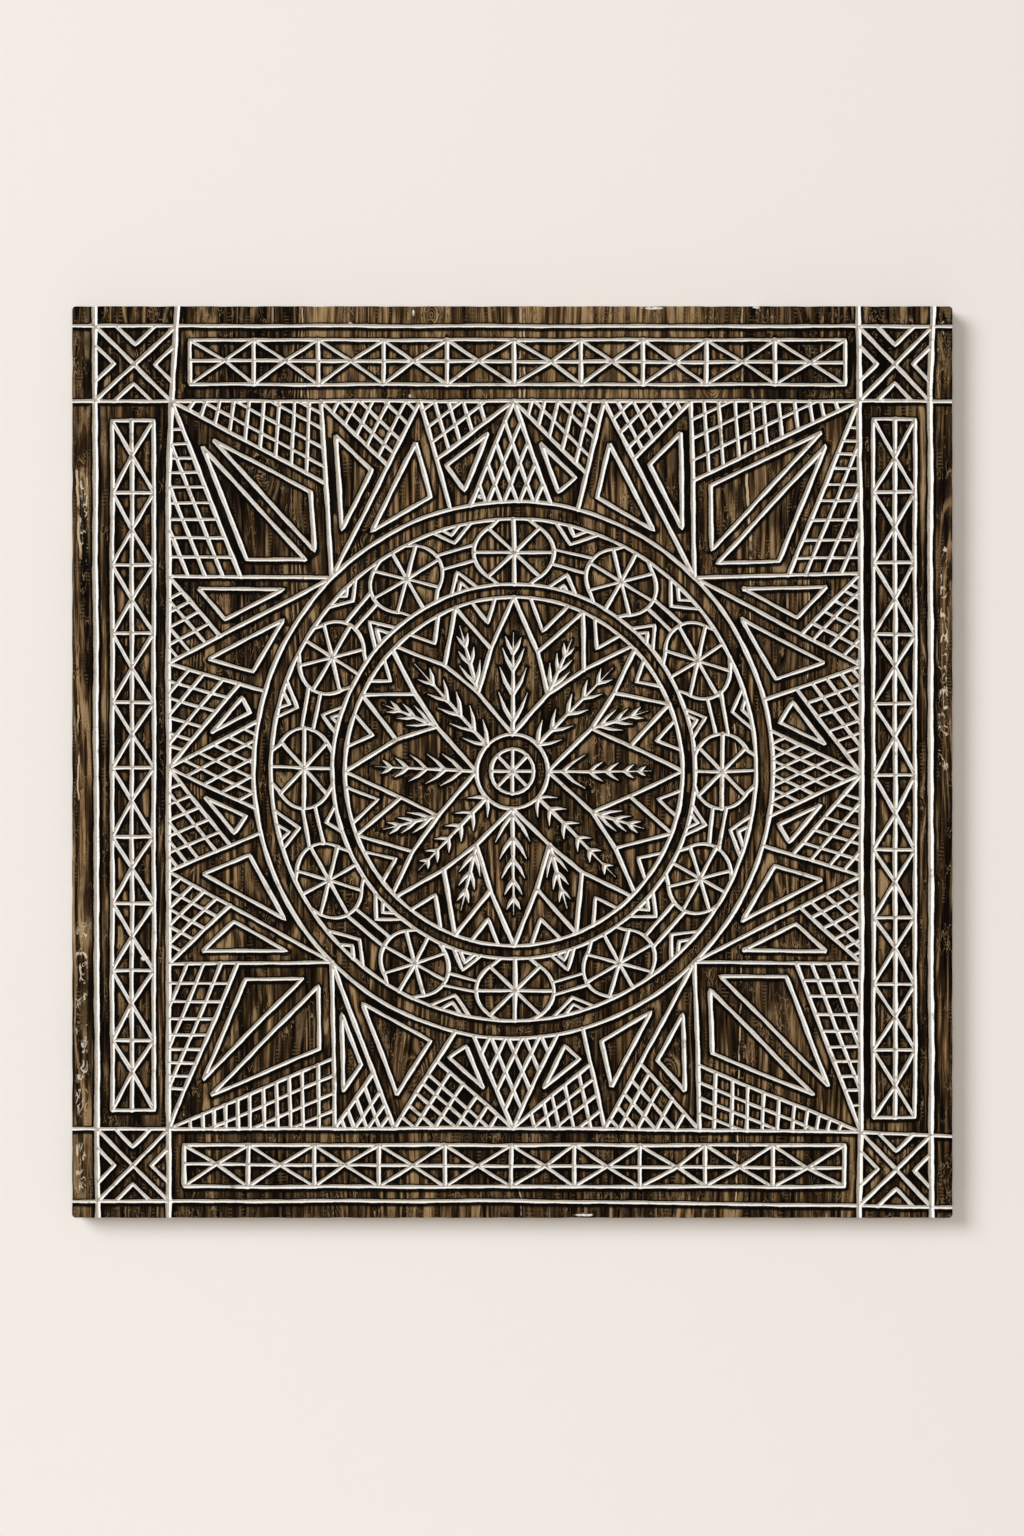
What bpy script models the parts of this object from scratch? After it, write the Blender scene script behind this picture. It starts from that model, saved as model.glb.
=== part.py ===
"""Carved wall panel: four dark boards glued edge to edge, their front cut with V grooves.

Metres, +Z up. The front faces -Y, the flat back lies on Y = 0 and the origin is the middle of the back.
"""

import math

import bmesh
import bpy
import numpy as np
from mathutils import Vector
from mathutils.geometry import delaunay_2d_cdt

# Boards, from left to right. The right board fills what the other three leave of the panel's width
BOARD_NAMES = ("left_board", "left_middle_board", "right_middle_board", "right_board")
BOARD_COLOURS = ((0.052, 0.036, 0.022), (0.060, 0.042, 0.026), (0.058, 0.041, 0.026), (0.048, 0.034, 0.021))
LEFT_WIDTH = 0.2370
LEFT_MIDDLE_WIDTH = 0.2225
RIGHT_MIDDLE_WIDTH = 0.2265
PANEL_WIDTH = 0.900
PANEL_HEIGHT = 0.932
PANEL_THICKNESS = 0.025
CORNER_RADIUS = 0.004
SEAM_GAP = 0.0003

# Grooves: half their width at the face, and the tool's depth for a half width of one
GROOVE_HALF = 0.0021
UPRIGHT_HALF = 0.0028
RAIL_HALF = 0.0018
WHEEL_HALF = 0.0019
FEATHER_HALF = 0.00185
DEPTH_PER_HALF = 0.85

# The carving is drawn on a face of this size, in millimetres from its middle, and stretched to the panel
DRAWN_WIDTH = 900.0
DRAWN_HEIGHT = 932.0

FIELD_CORNERS = dict(
    top_left=(-348.5, 369),
    top_right=(354.5, 369),
    bottom_left=(-351.5, -375),
    bottom_right=(356, -378),
)
BORDER = dict(
    outer_left=((-427, 466), (-424, -466)),
    inner_left=(
        (-342.5, 466), FIELD_CORNERS["top_left"], (-351.5, 285), FIELD_CORNERS["bottom_left"], (-351.5, -466),
    ),
    inner_right=((353.5, 466), FIELD_CORNERS["top_right"], (357, 60), FIELD_CORNERS["bottom_right"], (354.5, -466)),
    outer_right=((430, 466), (427, 380), (428.5, -466)),
    outer_top=((-450, 446), (450, 445.5)),
    inner_top=((-450, 369), FIELD_CORNERS["top_left"], FIELD_CORNERS["top_right"], (450, 369)),
    inner_bottom=(
        (-450, -375), FIELD_CORNERS["bottom_left"], (0, -374), FIELD_CORNERS["bottom_right"], (450, -383),
    ),
    outer_bottom=((-450, -449), (0, -448.5), (450, -455)),
)

# Zigzag bands: their box, the middle line at both ends, the bars across and the crossings between them
BANDS = dict(
    top=dict(
        x=(-329.5, 340), z=(386, 431.5), middle=(410.5, 408.5),
        bars=(-264.5, -198.5, -132, -66.5, 1.5, 70, 133, 198.5, 268.5),
        crossings=(-293.5, -232.5, -165, -101.5, -34.5, 40, 101.5, 166.5, 235, 305),
    ),
    bottom=dict(
        x=(-336, 339.5), z=(-434, -391.5), middle=(-411, -415),
        bars=(-270, -202.5, -136.5, -69, -1.5, 63.5, 130, 197, 266),
        crossings=(-302.5, -237.5, -171, -102, -35.5, 33.5, 97.5, 168.5, 232, 302),
    ),
    left=dict(
        x=(-409, -366.5), z=(-356, 349), middle=(-389, -389),
        bars=(-284.5, -213, -144.5, -76, -6, 61, 132, 201.5, 275.5),
        crossings=(-316.5, -247.5, -178, -108, -39.5, 28.5, 96, 166.5, 238, 313),
    ),
    right=dict(
        x=(369, 411.5), z=(-363, 350.5), middle=(391.5, 391),
        bars=(-294.5, -227, -159, -89.5, -13, 59.5, 130.5, 204.5, 276),
        crossings=(-330.5, -260.5, -190, -122, -52.5, 26, 98, 167, 240.5, 311.5),
    ),
)

# Chevrons of the corner squares: their feet along a side, their tip towards the middle
CHEVRON_SPREAD = 0.255
CHEVRON_REACH = 0.49

# Corner blocks: where their edges leave the border, how far down those edges the two rays end, and the gaps of
# the two long triangles from their ray, their edge and each other
BLOCKS = dict(
    top_left=dict(
        across=-196, down=190, ray_across=0.466, ray_down=0.44,
        gaps_across=(15, 16, 5), gaps_down=(12.5, 18, 8),
    ),
    top_right=dict(
        across=182.5, down=193, ray_across=0.45, ray_down=0.435,
        gaps_across=(12.5, 18, 6.5), gaps_down=(14.5, 14.5, 6.5),
    ),
    bottom_left=dict(
        across=-181.5, down=-206.5, ray_across=0.424, ray_down=0.425,
        gaps_across=(14.5, 14.5, 7), gaps_down=(13.5, 16.5, 10),
    ),
    bottom_right=dict(
        across=191.5, down=-206, ray_across=0.385, ray_down=0.39,
        gaps_across=(17, 15, 8), gaps_down=(14.5, 14, 9),
    ),
)

# Half sides of the field: the spike's tip on the border, the ring angles from the side's own axis where its
# inner edge and the middle spike end, the shares down the spike where the two slanting edges end, and the gap
# of the triangle beside the block from its two short sides
HALVES = dict(
    top_left=dict(spike=-94.5, inner=14, middle=9.5, outer_share=0.364, inner_share=0.538, gap=13),
    top_right=dict(spike=94, inner=14.3, middle=8.3, outer_share=0.33, inner_share=0.667, gap=11.5),
    left_top=dict(spike=101, inner=16.9, middle=10.5, outer_share=0.315, inner_share=0.73, gap=12.5),
    left_bottom=dict(spike=-112, inner=13.5, middle=8.3, outer_share=0.375, inner_share=0.668, gap=12.5),
    right_top=dict(spike=98.5, inner=15, middle=8.5, outer_share=0.36, inner_share=0.67, gap=13),
    right_bottom=dict(spike=-116.5, inner=16.3, middle=10, outer_share=0.364, inner_share=0.7, gap=12.5),
    bottom_left=dict(spike=-121, inner=13, middle=8.8, outer_share=0.335, inner_share=0.7, gap=9),
    bottom_right=dict(spike=94.3, inner=15.5, middle=9.8, outer_share=0.395, inner_share=0.65, gap=14),
)
MIDDLE_TIPS = dict(top=1, bottom=0, left=-6, right=-12)
# Gap of the triangle beside the block from the slanting edge, and the gaps of the one in the spike and of the one
# beside the middle
OUTER_GAP = 15
SPIKE_GAPS = (15, 21, 16)
MIDDLE_GAPS = (11, 4, 11.5)

# Rings: centre and radius, a little taller than wide
RINGS = dict(
    field=((1, -8), 265.5),
    wheels_out=((1, -8), 248),
    wheels_in=((1.5, -9.5), 185.5),
    star=((1.5, -9.5), 172.5),
    hub=((0, -9.5), 36.5),
    eye=((0, -9.5), 21.8),
)
RING_STRETCH = 1.034
STAR_CENTRE = RINGS["star"][0]
BLOCK_ANGLE = 44.3
RING_STEP = 12.0

# Wheels, clockwise from the top: the hub's angle and radius, and half the wheel's width
WHEELS = (
    (0, 216.5, 41), (30.4, 217, 37), (59.8, 217.5, 39.5), (90, 213, 37), (119.2, 217.5, 35), (150.4, 218, 38),
    (179.7, 217, 39.5), (208.1, 215, 36), (240.2, 217.5, 38.5), (270.8, 214.5, 40), (301.1, 217.5, 37),
    (330, 219.5, 38.5),
)
SPOKE_TURN = 40.0
# Between the wheels: the radii of both links at their left and right ends, then the outer and the inner chevron as
# the angles of the left foot, the tip and the right foot and the radius of the tip
WHEEL_GAPS = (
    (((223.3, 225.7), (209, 209)), (10.2, 14.4, 20.4, 231.7), (11, 15.7, 20, 202)),
    (((222.3, 225), (211.7, 212.3)), (40.4, 44.4, 50.2, 229), (40.4, 44.8, 49.8, 204)),
    (((225.3, 221.7), (210.3, 209.5)), (71, 75.2, 80.8, 230.3), (70.6, 74.8, 79.8, 202.8)),
    (((220.7, 223.3), (207, 212.3)), (100.4, 104.8, 110.4, 229), (100.2, 105.2, 110, 203.3)),
    (((222.8, 224.5), (209, 210.7)), (130, 135, 139.3, 227.8), (130, 134.6, 140.7, 204)),
    (((223.7, 224.5), (211.7, 212)), (160.4, 165, 170.7, 230.7), (160.6, 164.3, 168.3, 203.7)),
    (((221.7, 223.3), (211, 210)), (190.4, 195.2, 200.2, 229), (190.4, 194.8, 199.3, 203.3)),
    (((219, 222.3), (207.8, 211.2)), (218.3, 223.5, 230.4, 229.5), (217.9, 224, 229.8, 203.3)),
    (((222.3, 219.5), (207.3, 206.7)), (251.7, 255.7, 260.8, 226.7), (251.1, 255.4, 259.8, 198.7)),
    (((220.7, 225.7), (209, 212)), (282.1, 286, 290.8, 230), (281.7, 286, 290.4, 203.3)),
    (((226.2, 229.5), (215, 216.7)), (310.4, 315.7, 319.6, 235.3), (310.4, 315, 319.8, 209)),
    (((227, 227.3), (212, 212.3)), (340.8, 345, 349.8, 233.3), (339.8, 343.6, 348.5, 205)),
)

# The star, by axis and side. Petals: the corner near the hub, the shoulder and the fork of the spike, as radius and
# angle
PETALS = {
    (0, -1): ((86, 25.3), (126.5, 34), (123, 10.8)),
    (0, 1): ((84, 24.5), (123, 35.3), (120.5, 11.7)),
    (90, -1): ((90, 28.2), (128.5, 37), (121.5, 12)),
    (90, 1): ((90, 27), (128.5, 36), (121, 11.7)),
    (180, -1): ((81.5, 26.3), (121.5, 35), (118, 11.7)),
    (180, 1): ((82, 28), (121, 36.5), (120.5, 11.6)),
    (270, -1): ((89.5, 29.8), (130, 37.5), (118.5, 12.7)),
    (270, 1): ((90, 29.5), (126, 37.3), (124.5, 14.5)),
}
# The side spike's angle, then both teeth as the angles of their feet and tip and the tip's radius
STAR_SIDES = {
    (0, -1): (20.3, (6.4, 10.1, 14.4, 149), (26.8, 32.6, 38.2, 150.5)),
    (0, 1): (24.3, (5.6, 12, 18.8, 141.5), (28.8, 34.8, 38.9, 148)),
    (90, -1): (22.7, (6.8, 11.7, 17, 149), (29.1, 35.1, 39.5, 153.5)),
    (90, 1): (20.8, (6.2, 10.6, 15, 150), (27.8, 33.8, 38.6, 153.5)),
    (180, -1): (21.7, (6, 10.7, 16.2, 148), (28, 33.6, 38, 150)),
    (180, 1): (20.3, (5.3, 10.2, 14.4, 148), (25.7, 33.3, 37.5, 146)),
    (270, -1): (21.5, (5, 11.2, 17.2, 141.5), (27.5, 35.6, 39, 148)),
    (270, 1): (26, (8, 13.8, 19.2, 149), (31.2, 35.4, 39.9, 154.5)),
}
# The feathers by angle: the tip, where the barbs leave the stem, how long they are and how far they spread
FEATHERS = {
    0: dict(tip=(137, 0), feet=(0.12, 0.39, 0.63, 0.8), reach=(34, 31, 25, 18), spread=26),
    90: dict(tip=(140, 90), feet=(0.145, 0.405, 0.57, 0.745, 0.885), reach=(29, 17, 15, 11.5, 8), spread=37),
    180: dict(tip=(141.5, 180), feet=(0.06, 0.275, 0.48, 0.675, 0.845), reach=(33, 26, 23, 17, 13), spread=32),
    270: dict(tip=(141.5, 272), feet=(0.145, 0.31, 0.5, 0.69, 0.855), reach=(27, 25, 22, 16, 11), spread=38),
    45: dict(tip=(144, 44.7), feet=(0.06, 0.19, 0.4, 0.605, 0.8), reach=(26, 22.5, 21.5, 19.5, 15), spread=33),
    135: dict(
        tip=(147.5, 135), feet=(0.06, 0.15, 0.33, 0.51, 0.665, 0.855), reach=(20, 17, 16, 14, 12, 9), spread=45,
    ),
    225: dict(
        tip=(137.5, 225), feet=(0.06, 0.21, 0.39, 0.57, 0.735, 0.87), reach=(20, 18, 16, 14, 12, 8), spread=45,
    ),
    315: dict(tip=(147, 316.5), feet=(0.06, 0.18, 0.37, 0.55, 0.75), reach=(27, 26, 24, 21, 16), spread=31),
}

JOIN_DISTANCE = 0.0005
SEAM_SNAP = 0.00001
STRAIGHT = math.radians(3)
OUTLINE_TURN = math.radians(20)
FLAT_ANGLE = math.radians(0.2)
CORNER_SHARE = 0.46
LONGEST_MITRE = 1.8


def clear_scene():
    for obj in list(bpy.data.objects):
        bpy.data.objects.remove(obj, do_unlink=True)


def between(a, b, share):
    return (a[0] + (b[0] - a[0]) * share, a[1] + (b[1] - a[1]) * share)


def meet(a, b, c, d):
    """Where the line through a and b crosses the line through c and d."""
    along = (b[0] - a[0], b[1] - a[1])
    other = (d[0] - c[0], d[1] - c[1])
    cross = along[0] * other[1] - along[1] * other[0]
    return between(a, b, ((c[0] - a[0]) * other[1] - (c[1] - a[1]) * other[0]) / cross)


def on_line(line, value, axis):
    """The point of a bent line whose x (axis 0) or z (axis 1) is the value."""
    for a, b in zip(line, line[1:]):
        low, high = sorted((a[axis], b[axis]))
        if low <= value <= high:
            return between(a, b, (value - a[axis]) / (b[axis] - a[axis]))
    return line[-1]


def inset(corners, gaps):
    """The corners drawn in from each side by its own gap."""
    count = len(corners)
    pairs = [(corners[i], corners[(i + 1) % count]) for i in range(count)]
    turn = math.copysign(1, sum(a[0] * b[1] - b[0] * a[1] for a, b in pairs))
    sides = []
    for (a, b), gap in zip(pairs, gaps):
        step = turn * gap / math.dist(a, b)
        shift = ((a[1] - b[1]) * step, (b[0] - a[0]) * step)
        sides.append(((a[0] + shift[0], a[1] + shift[1]), (b[0] + shift[0], b[1] + shift[1])))
    return [meet(*sides[i - 1], *sides[i]) for i in range(count)]


def polar(centre, radius, angle):
    """A point of the rings, its angle in degrees clockwise from the top."""
    turn = math.radians(angle)
    return (centre[0] + radius * math.sin(turn), centre[1] + radius * math.cos(turn) * RING_STRETCH)


def on_ring(name, angle):
    """The point of one of the rings at this angle."""
    return polar(*RINGS[name], angle)


class Drawing:
    """The carving as bent lines in drawing millimetres, each with the half width of its groove."""

    def __init__(self):
        self.lines = []

    def cut(self, points, half=GROOVE_HALF, closed=False, pointed=False):
        points = [tuple(round(value, 3) for value in point) for point in points]
        if closed:
            points.append(points[0])
        self.lines.append((points, half, pointed))

    def ring(self, name, stops, step=RING_STEP, half=GROOVE_HALF):
        """A ring with a corner at every stop and others between them, no further apart than the step."""
        stops = sorted({round(stop % 360, 9) for stop in stops})
        points = []
        for here, after in zip(stops, stops[1:] + [stops[0] + 360]):
            parts = math.ceil((after - here) / step)
            points += [on_ring(name, here + (after - here) * k / parts) for k in range(parts)]
        self.cut(points, half, closed=True)

    def feather(self, root, tip, feet, reach, spread):
        """A stem with pairs of barbs."""
        heading = math.atan2(tip[1] - root[1], tip[0] - root[0])
        stem = [between(root, tip, share) for share in feet]
        for side in (-1, 1):
            turn = heading + side * math.radians(spread)
            for foot, length in zip(stem, reach):
                end = (foot[0] + length * math.cos(turn), foot[1] + length * math.sin(turn))
                self.cut((foot, end), FEATHER_HALF, pointed=True)
        self.cut([root, *stem, tip], FEATHER_HALF, pointed=True)


def draw_borders(drawing):
    for name, line in BORDER.items():
        drawing.cut(line, UPRIGHT_HALF if name.endswith(("left", "right")) else RAIL_HALF)


def draw_corner_square(drawing, left, right, top, bottom):
    """A cross with a chevron on each side, between the four border lines of one corner."""
    corners = [meet(*top, *left), meet(*top, *right), meet(*bottom, *right), meet(*bottom, *left)]
    middle = meet(corners[0], corners[2], corners[1], corners[3])
    drawing.cut((corners[0], middle, corners[2]))
    drawing.cut((corners[1], middle, corners[3]))
    for a, b in zip(corners, corners[1:] + corners[:1]):
        tip = between(between(a, b, 0.5), middle, CHEVRON_REACH)
        drawing.cut((between(a, b, CHEVRON_SPREAD), tip, between(b, a, CHEVRON_SPREAD)))


def draw_corner_squares(drawing):
    for side in ("left", "right"):
        uprights = (BORDER["outer_" + side], BORDER["inner_" + side])
        end = slice(0, 2) if side == "left" else slice(-2, None)
        for level, upright_end in (("top", slice(0, 2)), ("bottom", slice(-2, None))):
            rails = (BORDER["outer_" + level][end], BORDER["inner_" + level][end])
            draw_corner_square(drawing, *(upright[upright_end] for upright in uprights), *rails)


def draw_band(drawing, x, z, middle, bars, crossings, upright):
    """A long box, its middle line, bars across it and a cross in each of its cells."""

    def at(along, across):
        return (across, along) if upright else (along, across)

    (low, high), (near, far) = (z, x) if upright else (x, z)

    def heart(along):
        return at(along, middle[0] + (middle[1] - middle[0]) * (along - low) / (high - low))

    drawing.cut((at(low, near), at(high, near), at(high, far), at(low, far)), closed=True)
    ends = (low, *bars, high)
    row = [heart(low)]
    for start, cross, end in zip(ends, crossings, ends[1:]):
        row += [heart(cross), heart(end)]
        drawing.cut((at(start, near), heart(cross), at(end, far)))
        drawing.cut((at(end, near), heart(cross), at(start, far)))
    for bar in bars:
        drawing.cut((at(bar, near), heart(bar), at(bar, far)))
    drawing.cut(row)


def draw_block(drawing, corner, across, down, joint, block):
    """A corner block: two edges that meet on the ring, two rays and a pair of long triangles."""
    for start, way in ((across, "across"), (down, "down")):
        end = between(start, joint, block["ray_" + way])
        drawing.cut((start, joint))
        drawing.cut((corner, end))
        drawing.cut(inset((corner, end, joint), block["gaps_" + way]), closed=True)


def draw_half(drawing, block, spike, middle, joint, inner_end, middle_end, half):
    """Half of a side: a spike from the border to the ring, slanting edges on both sides and three triangles."""
    outer_tip = between(spike, joint, half["outer_share"])
    inner_tip = between(spike, inner_end, half["inner_share"])
    for line in ((spike, joint), (spike, inner_end), (middle, middle_end), (block, outer_tip), (middle, inner_tip)):
        drawing.cut(line)
    drawing.cut(inset((block, outer_tip, joint), (OUTER_GAP, half["gap"], half["gap"])), closed=True)
    drawing.cut(inset((spike, joint, inner_end), SPIKE_GAPS), closed=True)
    drawing.cut(inset((middle, inner_tip, middle_end), MIDDLE_GAPS), closed=True)


def draw_field(drawing):
    """Everything between the inner border and the outer ring, and that ring with a corner at each end on it."""
    axes = dict(top=0, right=90, bottom=180, left=270)
    stops = []

    def on_border(side, value):
        return on_line(BORDER["inner_" + side], value, 0 if side in ("top", "bottom") else 1)

    for name, block in BLOCKS.items():
        level, side = name.split("_")
        angle = axes[level] + (BLOCK_ANGLE if (level == "top") == (side == "right") else -BLOCK_ANGLE)
        joint = on_ring("field", angle)
        stops.append(angle)
        starts = (on_border(level, block["across"]), on_border(side, block["down"]))
        draw_block(drawing, FIELD_CORNERS[name], *starts, joint, block)
        for edge, other, start in ((level, side, starts[0]), (side, level, starts[1])):
            half = HALVES[edge + "_" + other]
            turn = 1 if (angle - axes[edge] + 180) % 360 > 180 else -1
            ends = [axes[edge] + turn * half[key] for key in ("inner", "middle")]
            stops += ends
            draw_half(
                drawing, start, on_border(edge, half["spike"]), on_border(edge, MIDDLE_TIPS[edge]), joint,
                *(on_ring("field", end) for end in ends), half,
            )
    drawing.ring("field", stops)


def draw_wheel(drawing, angle, middle, half_width, link_radii):
    """An eight spoked wheel that runs into the rings on both sides.

    The radii say where its two links on its left side and on its right side leave it. Returns the angles to where
    its rim meets the outer and the inner ring, and the ends of its links on both sides.
    """
    half_height = (RINGS["wheels_out"][1] - RINGS["wheels_in"][1]) / 2
    hub = polar(STAR_CENTRE, middle, angle)
    out = math.radians(angle)

    def rim(turn):
        side = half_width * math.sin(math.radians(turn))
        rise = half_height * math.cos(math.radians(turn))
        x = side * math.cos(out) + rise * math.sin(out)
        z = rise * math.cos(out) - side * math.sin(out)
        return (hub[0] + x, hub[1] + z * RING_STRETCH)

    def turn_at(radius):
        turn = 90.0
        for _ in range(6):
            side = half_width * math.sin(math.radians(turn))
            turn = math.degrees(math.acos((math.sqrt(radius ** 2 - side ** 2) - middle) / half_height))
        return turn

    touches = [math.degrees(math.atan2(rim_side, middle + rise)) for rim_side, rise in (
        (half_width * math.sin(math.radians(turn)), half_height * math.cos(math.radians(turn)))
        for turn in (22.5, 157.5)
    )]
    waist = []
    links = []
    low, high = SPOKE_TURN, 180 - SPOKE_TURN
    for side, radii in zip((-1, 1), link_radii):
        turns = [turn_at(radius) for radius in radii]
        stations = (low, (low + turns[0]) / 2, *turns, (turns[1] + high) / 2, high)
        start = on_ring("wheels_out", angle + side * touches[0])
        end = on_ring("wheels_in", angle + side * touches[1])
        drawing.cut([start, *(rim(side * turn) for turn in stations), end], WHEEL_HALF)
        links.append([rim(side * turn) for turn in turns])
        waist.append(between(*links[-1], 0.5))
    drawing.cut((on_ring("wheels_out", angle), hub, on_ring("wheels_in", angle)), WHEEL_HALF)
    drawing.cut((waist[0], hub, waist[1]), WHEEL_HALF)
    for turn in (low, high):
        drawing.cut((rim(turn), hub, rim(turn + 180)), WHEEL_HALF)
    return touches, links


def draw_wheels(drawing):
    """A ring of wheels, with two links and two chevrons between each pair."""
    stops = dict(wheels_out=[], wheels_in=[])
    ends = []
    for k, (angle, middle, half_width) in enumerate(WHEELS):
        before, after = ((outer[end], inner[end]) for end, (outer, inner) in (
            (1, WHEEL_GAPS[k - 1][0]), (0, WHEEL_GAPS[k][0])))
        touches, links = draw_wheel(drawing, angle, middle, half_width, (before, after))
        ends.append(links)
        for ring_stops, touch in zip(stops.values(), touches):
            ring_stops += [angle, angle - touch, angle + touch]
    for k, (_, *chevrons) in enumerate(WHEEL_GAPS):
        for link in zip(ends[k][1], ends[(k + 1) % len(WHEELS)][0]):
            drawing.cut(link, WHEEL_HALF)
        for name, (foot, tip, other_foot, reach) in zip(stops, chevrons):
            drawing.cut((on_ring(name, foot), polar(STAR_CENTRE, reach, tip), on_ring(name, other_foot)), WHEEL_HALF)
            stops[name] += [foot, other_foot]
    for name, ring_stops in stops.items():
        drawing.ring(name, ring_stops)


def draw_star(drawing):
    """Four petals on the diagonals, spikes and teeth between them, and feathers from the hub."""
    stops = []
    for axis in range(0, 360, 90):
        for side in (-1, 1):

            def at(radius, angle):
                return polar(STAR_CENTRE, radius, axis + side * angle)

            def on_star(angle):
                return on_ring("star", axis + side * angle)

            foot, shoulder, fork = (at(*point) for point in PETALS[axis, side])
            side_spike, *teeth = STAR_SIDES[axis, side]
            drawing.cut((on_ring("hub", axis), foot, shoulder, on_star(45)))
            drawing.cut((on_star(0), fork, foot))
            drawing.cut((fork, on_star(side_spike), shoulder))
            stops.append(axis + side * side_spike)
            for start, tip, end, reach in teeth:
                drawing.cut((on_star(start), at(reach, tip), on_star(end)))
                stops += [axis + side * start, axis + side * end]
    for angle, sizes in FEATHERS.items():
        root, tip = on_ring("hub", angle), polar(STAR_CENTRE, *sizes["tip"])
        drawing.feather(root, tip, sizes["feet"], sizes["reach"], sizes["spread"])
        stops.append(angle)
    drawing.ring("star", stops)
    drawing.ring("hub", range(0, 360, 45), step=23)
    drawing.ring("eye", range(0, 360, 45), step=23, half=WHEEL_HALF)
    for angle in range(0, 180, 45):
        drawing.cut((on_ring("eye", angle), RINGS["eye"][0], on_ring("eye", angle + 180)), WHEEL_HALF)


def draw_carving():
    drawing = Drawing()
    draw_borders(drawing)
    draw_corner_squares(drawing)
    for side, sizes in BANDS.items():
        draw_band(drawing, **sizes, upright=side in ("left", "right"))
    draw_field(drawing)
    draw_wheels(drawing)
    draw_star(drawing)
    return drawing


def panel_outline():
    """The corners of the face with its four rounded corners, in metres."""
    points = []
    for quarter in range(4):
        sign_x = (1, -1, -1, 1)[quarter]
        sign_z = (1, 1, -1, -1)[quarter]
        for k in range(3):
            turn = math.radians(90 * quarter + 45 * k)
            points.append((
                sign_x * (PANEL_WIDTH / 2 - CORNER_RADIUS) + CORNER_RADIUS * math.cos(turn),
                sign_z * (PANEL_HEIGHT / 2 - CORNER_RADIUS) + CORNER_RADIUS * math.sin(turn),
            ))
    return points


def seam_places():
    places = [-PANEL_WIDTH / 2]
    for width in (LEFT_WIDTH, LEFT_MIDDLE_WIDTH, RIGHT_MIDDLE_WIDTH):
        places.append(places[-1] + width)
    return [*places, PANEL_WIDTH / 2]


def crossing_graph(drawing):
    """All grooves and the outline of the face, split where they cross.

    Returns the points, and a dictionary from each pair of points to the groove's half width, or to zero.
    """
    points = []
    edges = []
    halves = []
    tips = []

    def add(line, half, pointed=False):
        first = len(points)
        points.extend(Vector(point) for point in line)
        edges.extend((first + k, first + k + 1) for k in range(len(line) - 1))
        halves.extend([half] * (len(line) - 1))
        if pointed:
            tips.append(len(points) - 1)

    outline = panel_outline()
    add(outline + outline[:1], 0)
    scale_x = PANEL_WIDTH / DRAWN_WIDTH
    scale_z = PANEL_HEIGHT / DRAWN_HEIGHT
    for line, half, pointed in drawing.lines:
        add([(x * scale_x, z * scale_z) for x, z in line], half, pointed)
    made, joined, _, from_points, from_edges, _ = delaunay_2d_cdt(points, edges, [], 0, JOIN_DISTANCE)
    sourced = [(tuple(sorted(pair)), source) for pair, source in zip(joined, from_edges) if source]
    graph = {pair: max(halves[k] for k in source) for pair, source in sourced}
    pointed = {k for k, source in enumerate(from_points) if set(source) & set(tips)}
    return made, graph, pointed


def groove_corner(node, ahead, behind, half_ahead, half_behind):
    """The face corner between two edges that leave a node, or None where they run straight on."""
    reach_a = (ahead - node).length
    reach_b = (behind - node).length
    a = (ahead - node) / reach_a
    b = (behind - node) / reach_b
    angle = math.atan2(a.cross(b), a.dot(b)) % math.tau or math.tau
    if abs(angle - math.pi) < STRAIGHT and half_ahead == half_behind:
        return None
    side_a = Vector((-a.y, a.x)) * half_ahead
    side_b = Vector((b.y, -b.x)) * half_behind
    if abs(math.sin(angle)) < math.sin(STRAIGHT):
        return node + (side_a + side_b) / 2
    along = (side_b - side_a).cross(b) / a.cross(b)
    corner = side_a + a * along
    if angle < math.pi:
        most = CORNER_SHARE * min(reach_a, reach_b)
    else:
        most = LONGEST_MITRE * max(half_ahead, half_behind)
    if corner.length > most:
        corner *= most / corner.length
    return node + corner


def face_loops(points, graph):
    """Each face of the graph as its chain of directed edges, with the face on their left."""
    around = {}
    for a, b in graph:
        around.setdefault(a, []).append(b)
        around.setdefault(b, []).append(a)
    following = {}
    for node, others in around.items():
        others.sort(key=lambda other: math.atan2(*(points[other] - points[node]).yx))
        for k, other in enumerate(others):
            following[(other, node)] = (node, others[k - 1])
    loops = []
    while following:
        edge = next(iter(following))
        loop = []
        while edge in following:
            loop.append(edge)
            edge = following.pop(edge)
        loops.append(loop)
    return loops


def carve(drawing):
    """The carved face as points with their depths, and triangles."""
    nodes, graph, pointed = crossing_graph(drawing)
    points = list(nodes)
    edges = [pair for pair, half in graph.items() if half]
    for loop in face_loops(nodes, graph):
        chain = []
        for (behind, node), (_, ahead) in zip(loop, loop[1:] + loop[:1]):
            halves = (graph[tuple(sorted((node, ahead)))], graph[tuple(sorted((node, behind)))])
            if node in pointed or not any(halves):
                chain.append(node)
                continue
            corner = groove_corner(nodes[node], nodes[ahead], nodes[behind], *halves)
            if corner is None:
                continue
            points.append(corner)
            chain.append(len(points) - 1)
            edges.append((node, len(points) - 1))
        edges += [(a, b) for a, b in zip(chain, chain[1:] + chain[:1]) if a != b]
    made, _, triangles, sources, _, _ = delaunay_2d_cdt(points, edges, [], 0, JOIN_DISTANCE / 50)
    depths = groove_depths(made, nodes, graph, pointed)
    for k, source in enumerate(sources):
        if source and min(source) >= len(nodes):
            depths[k] = 0
    return made, depths, triangles


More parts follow.
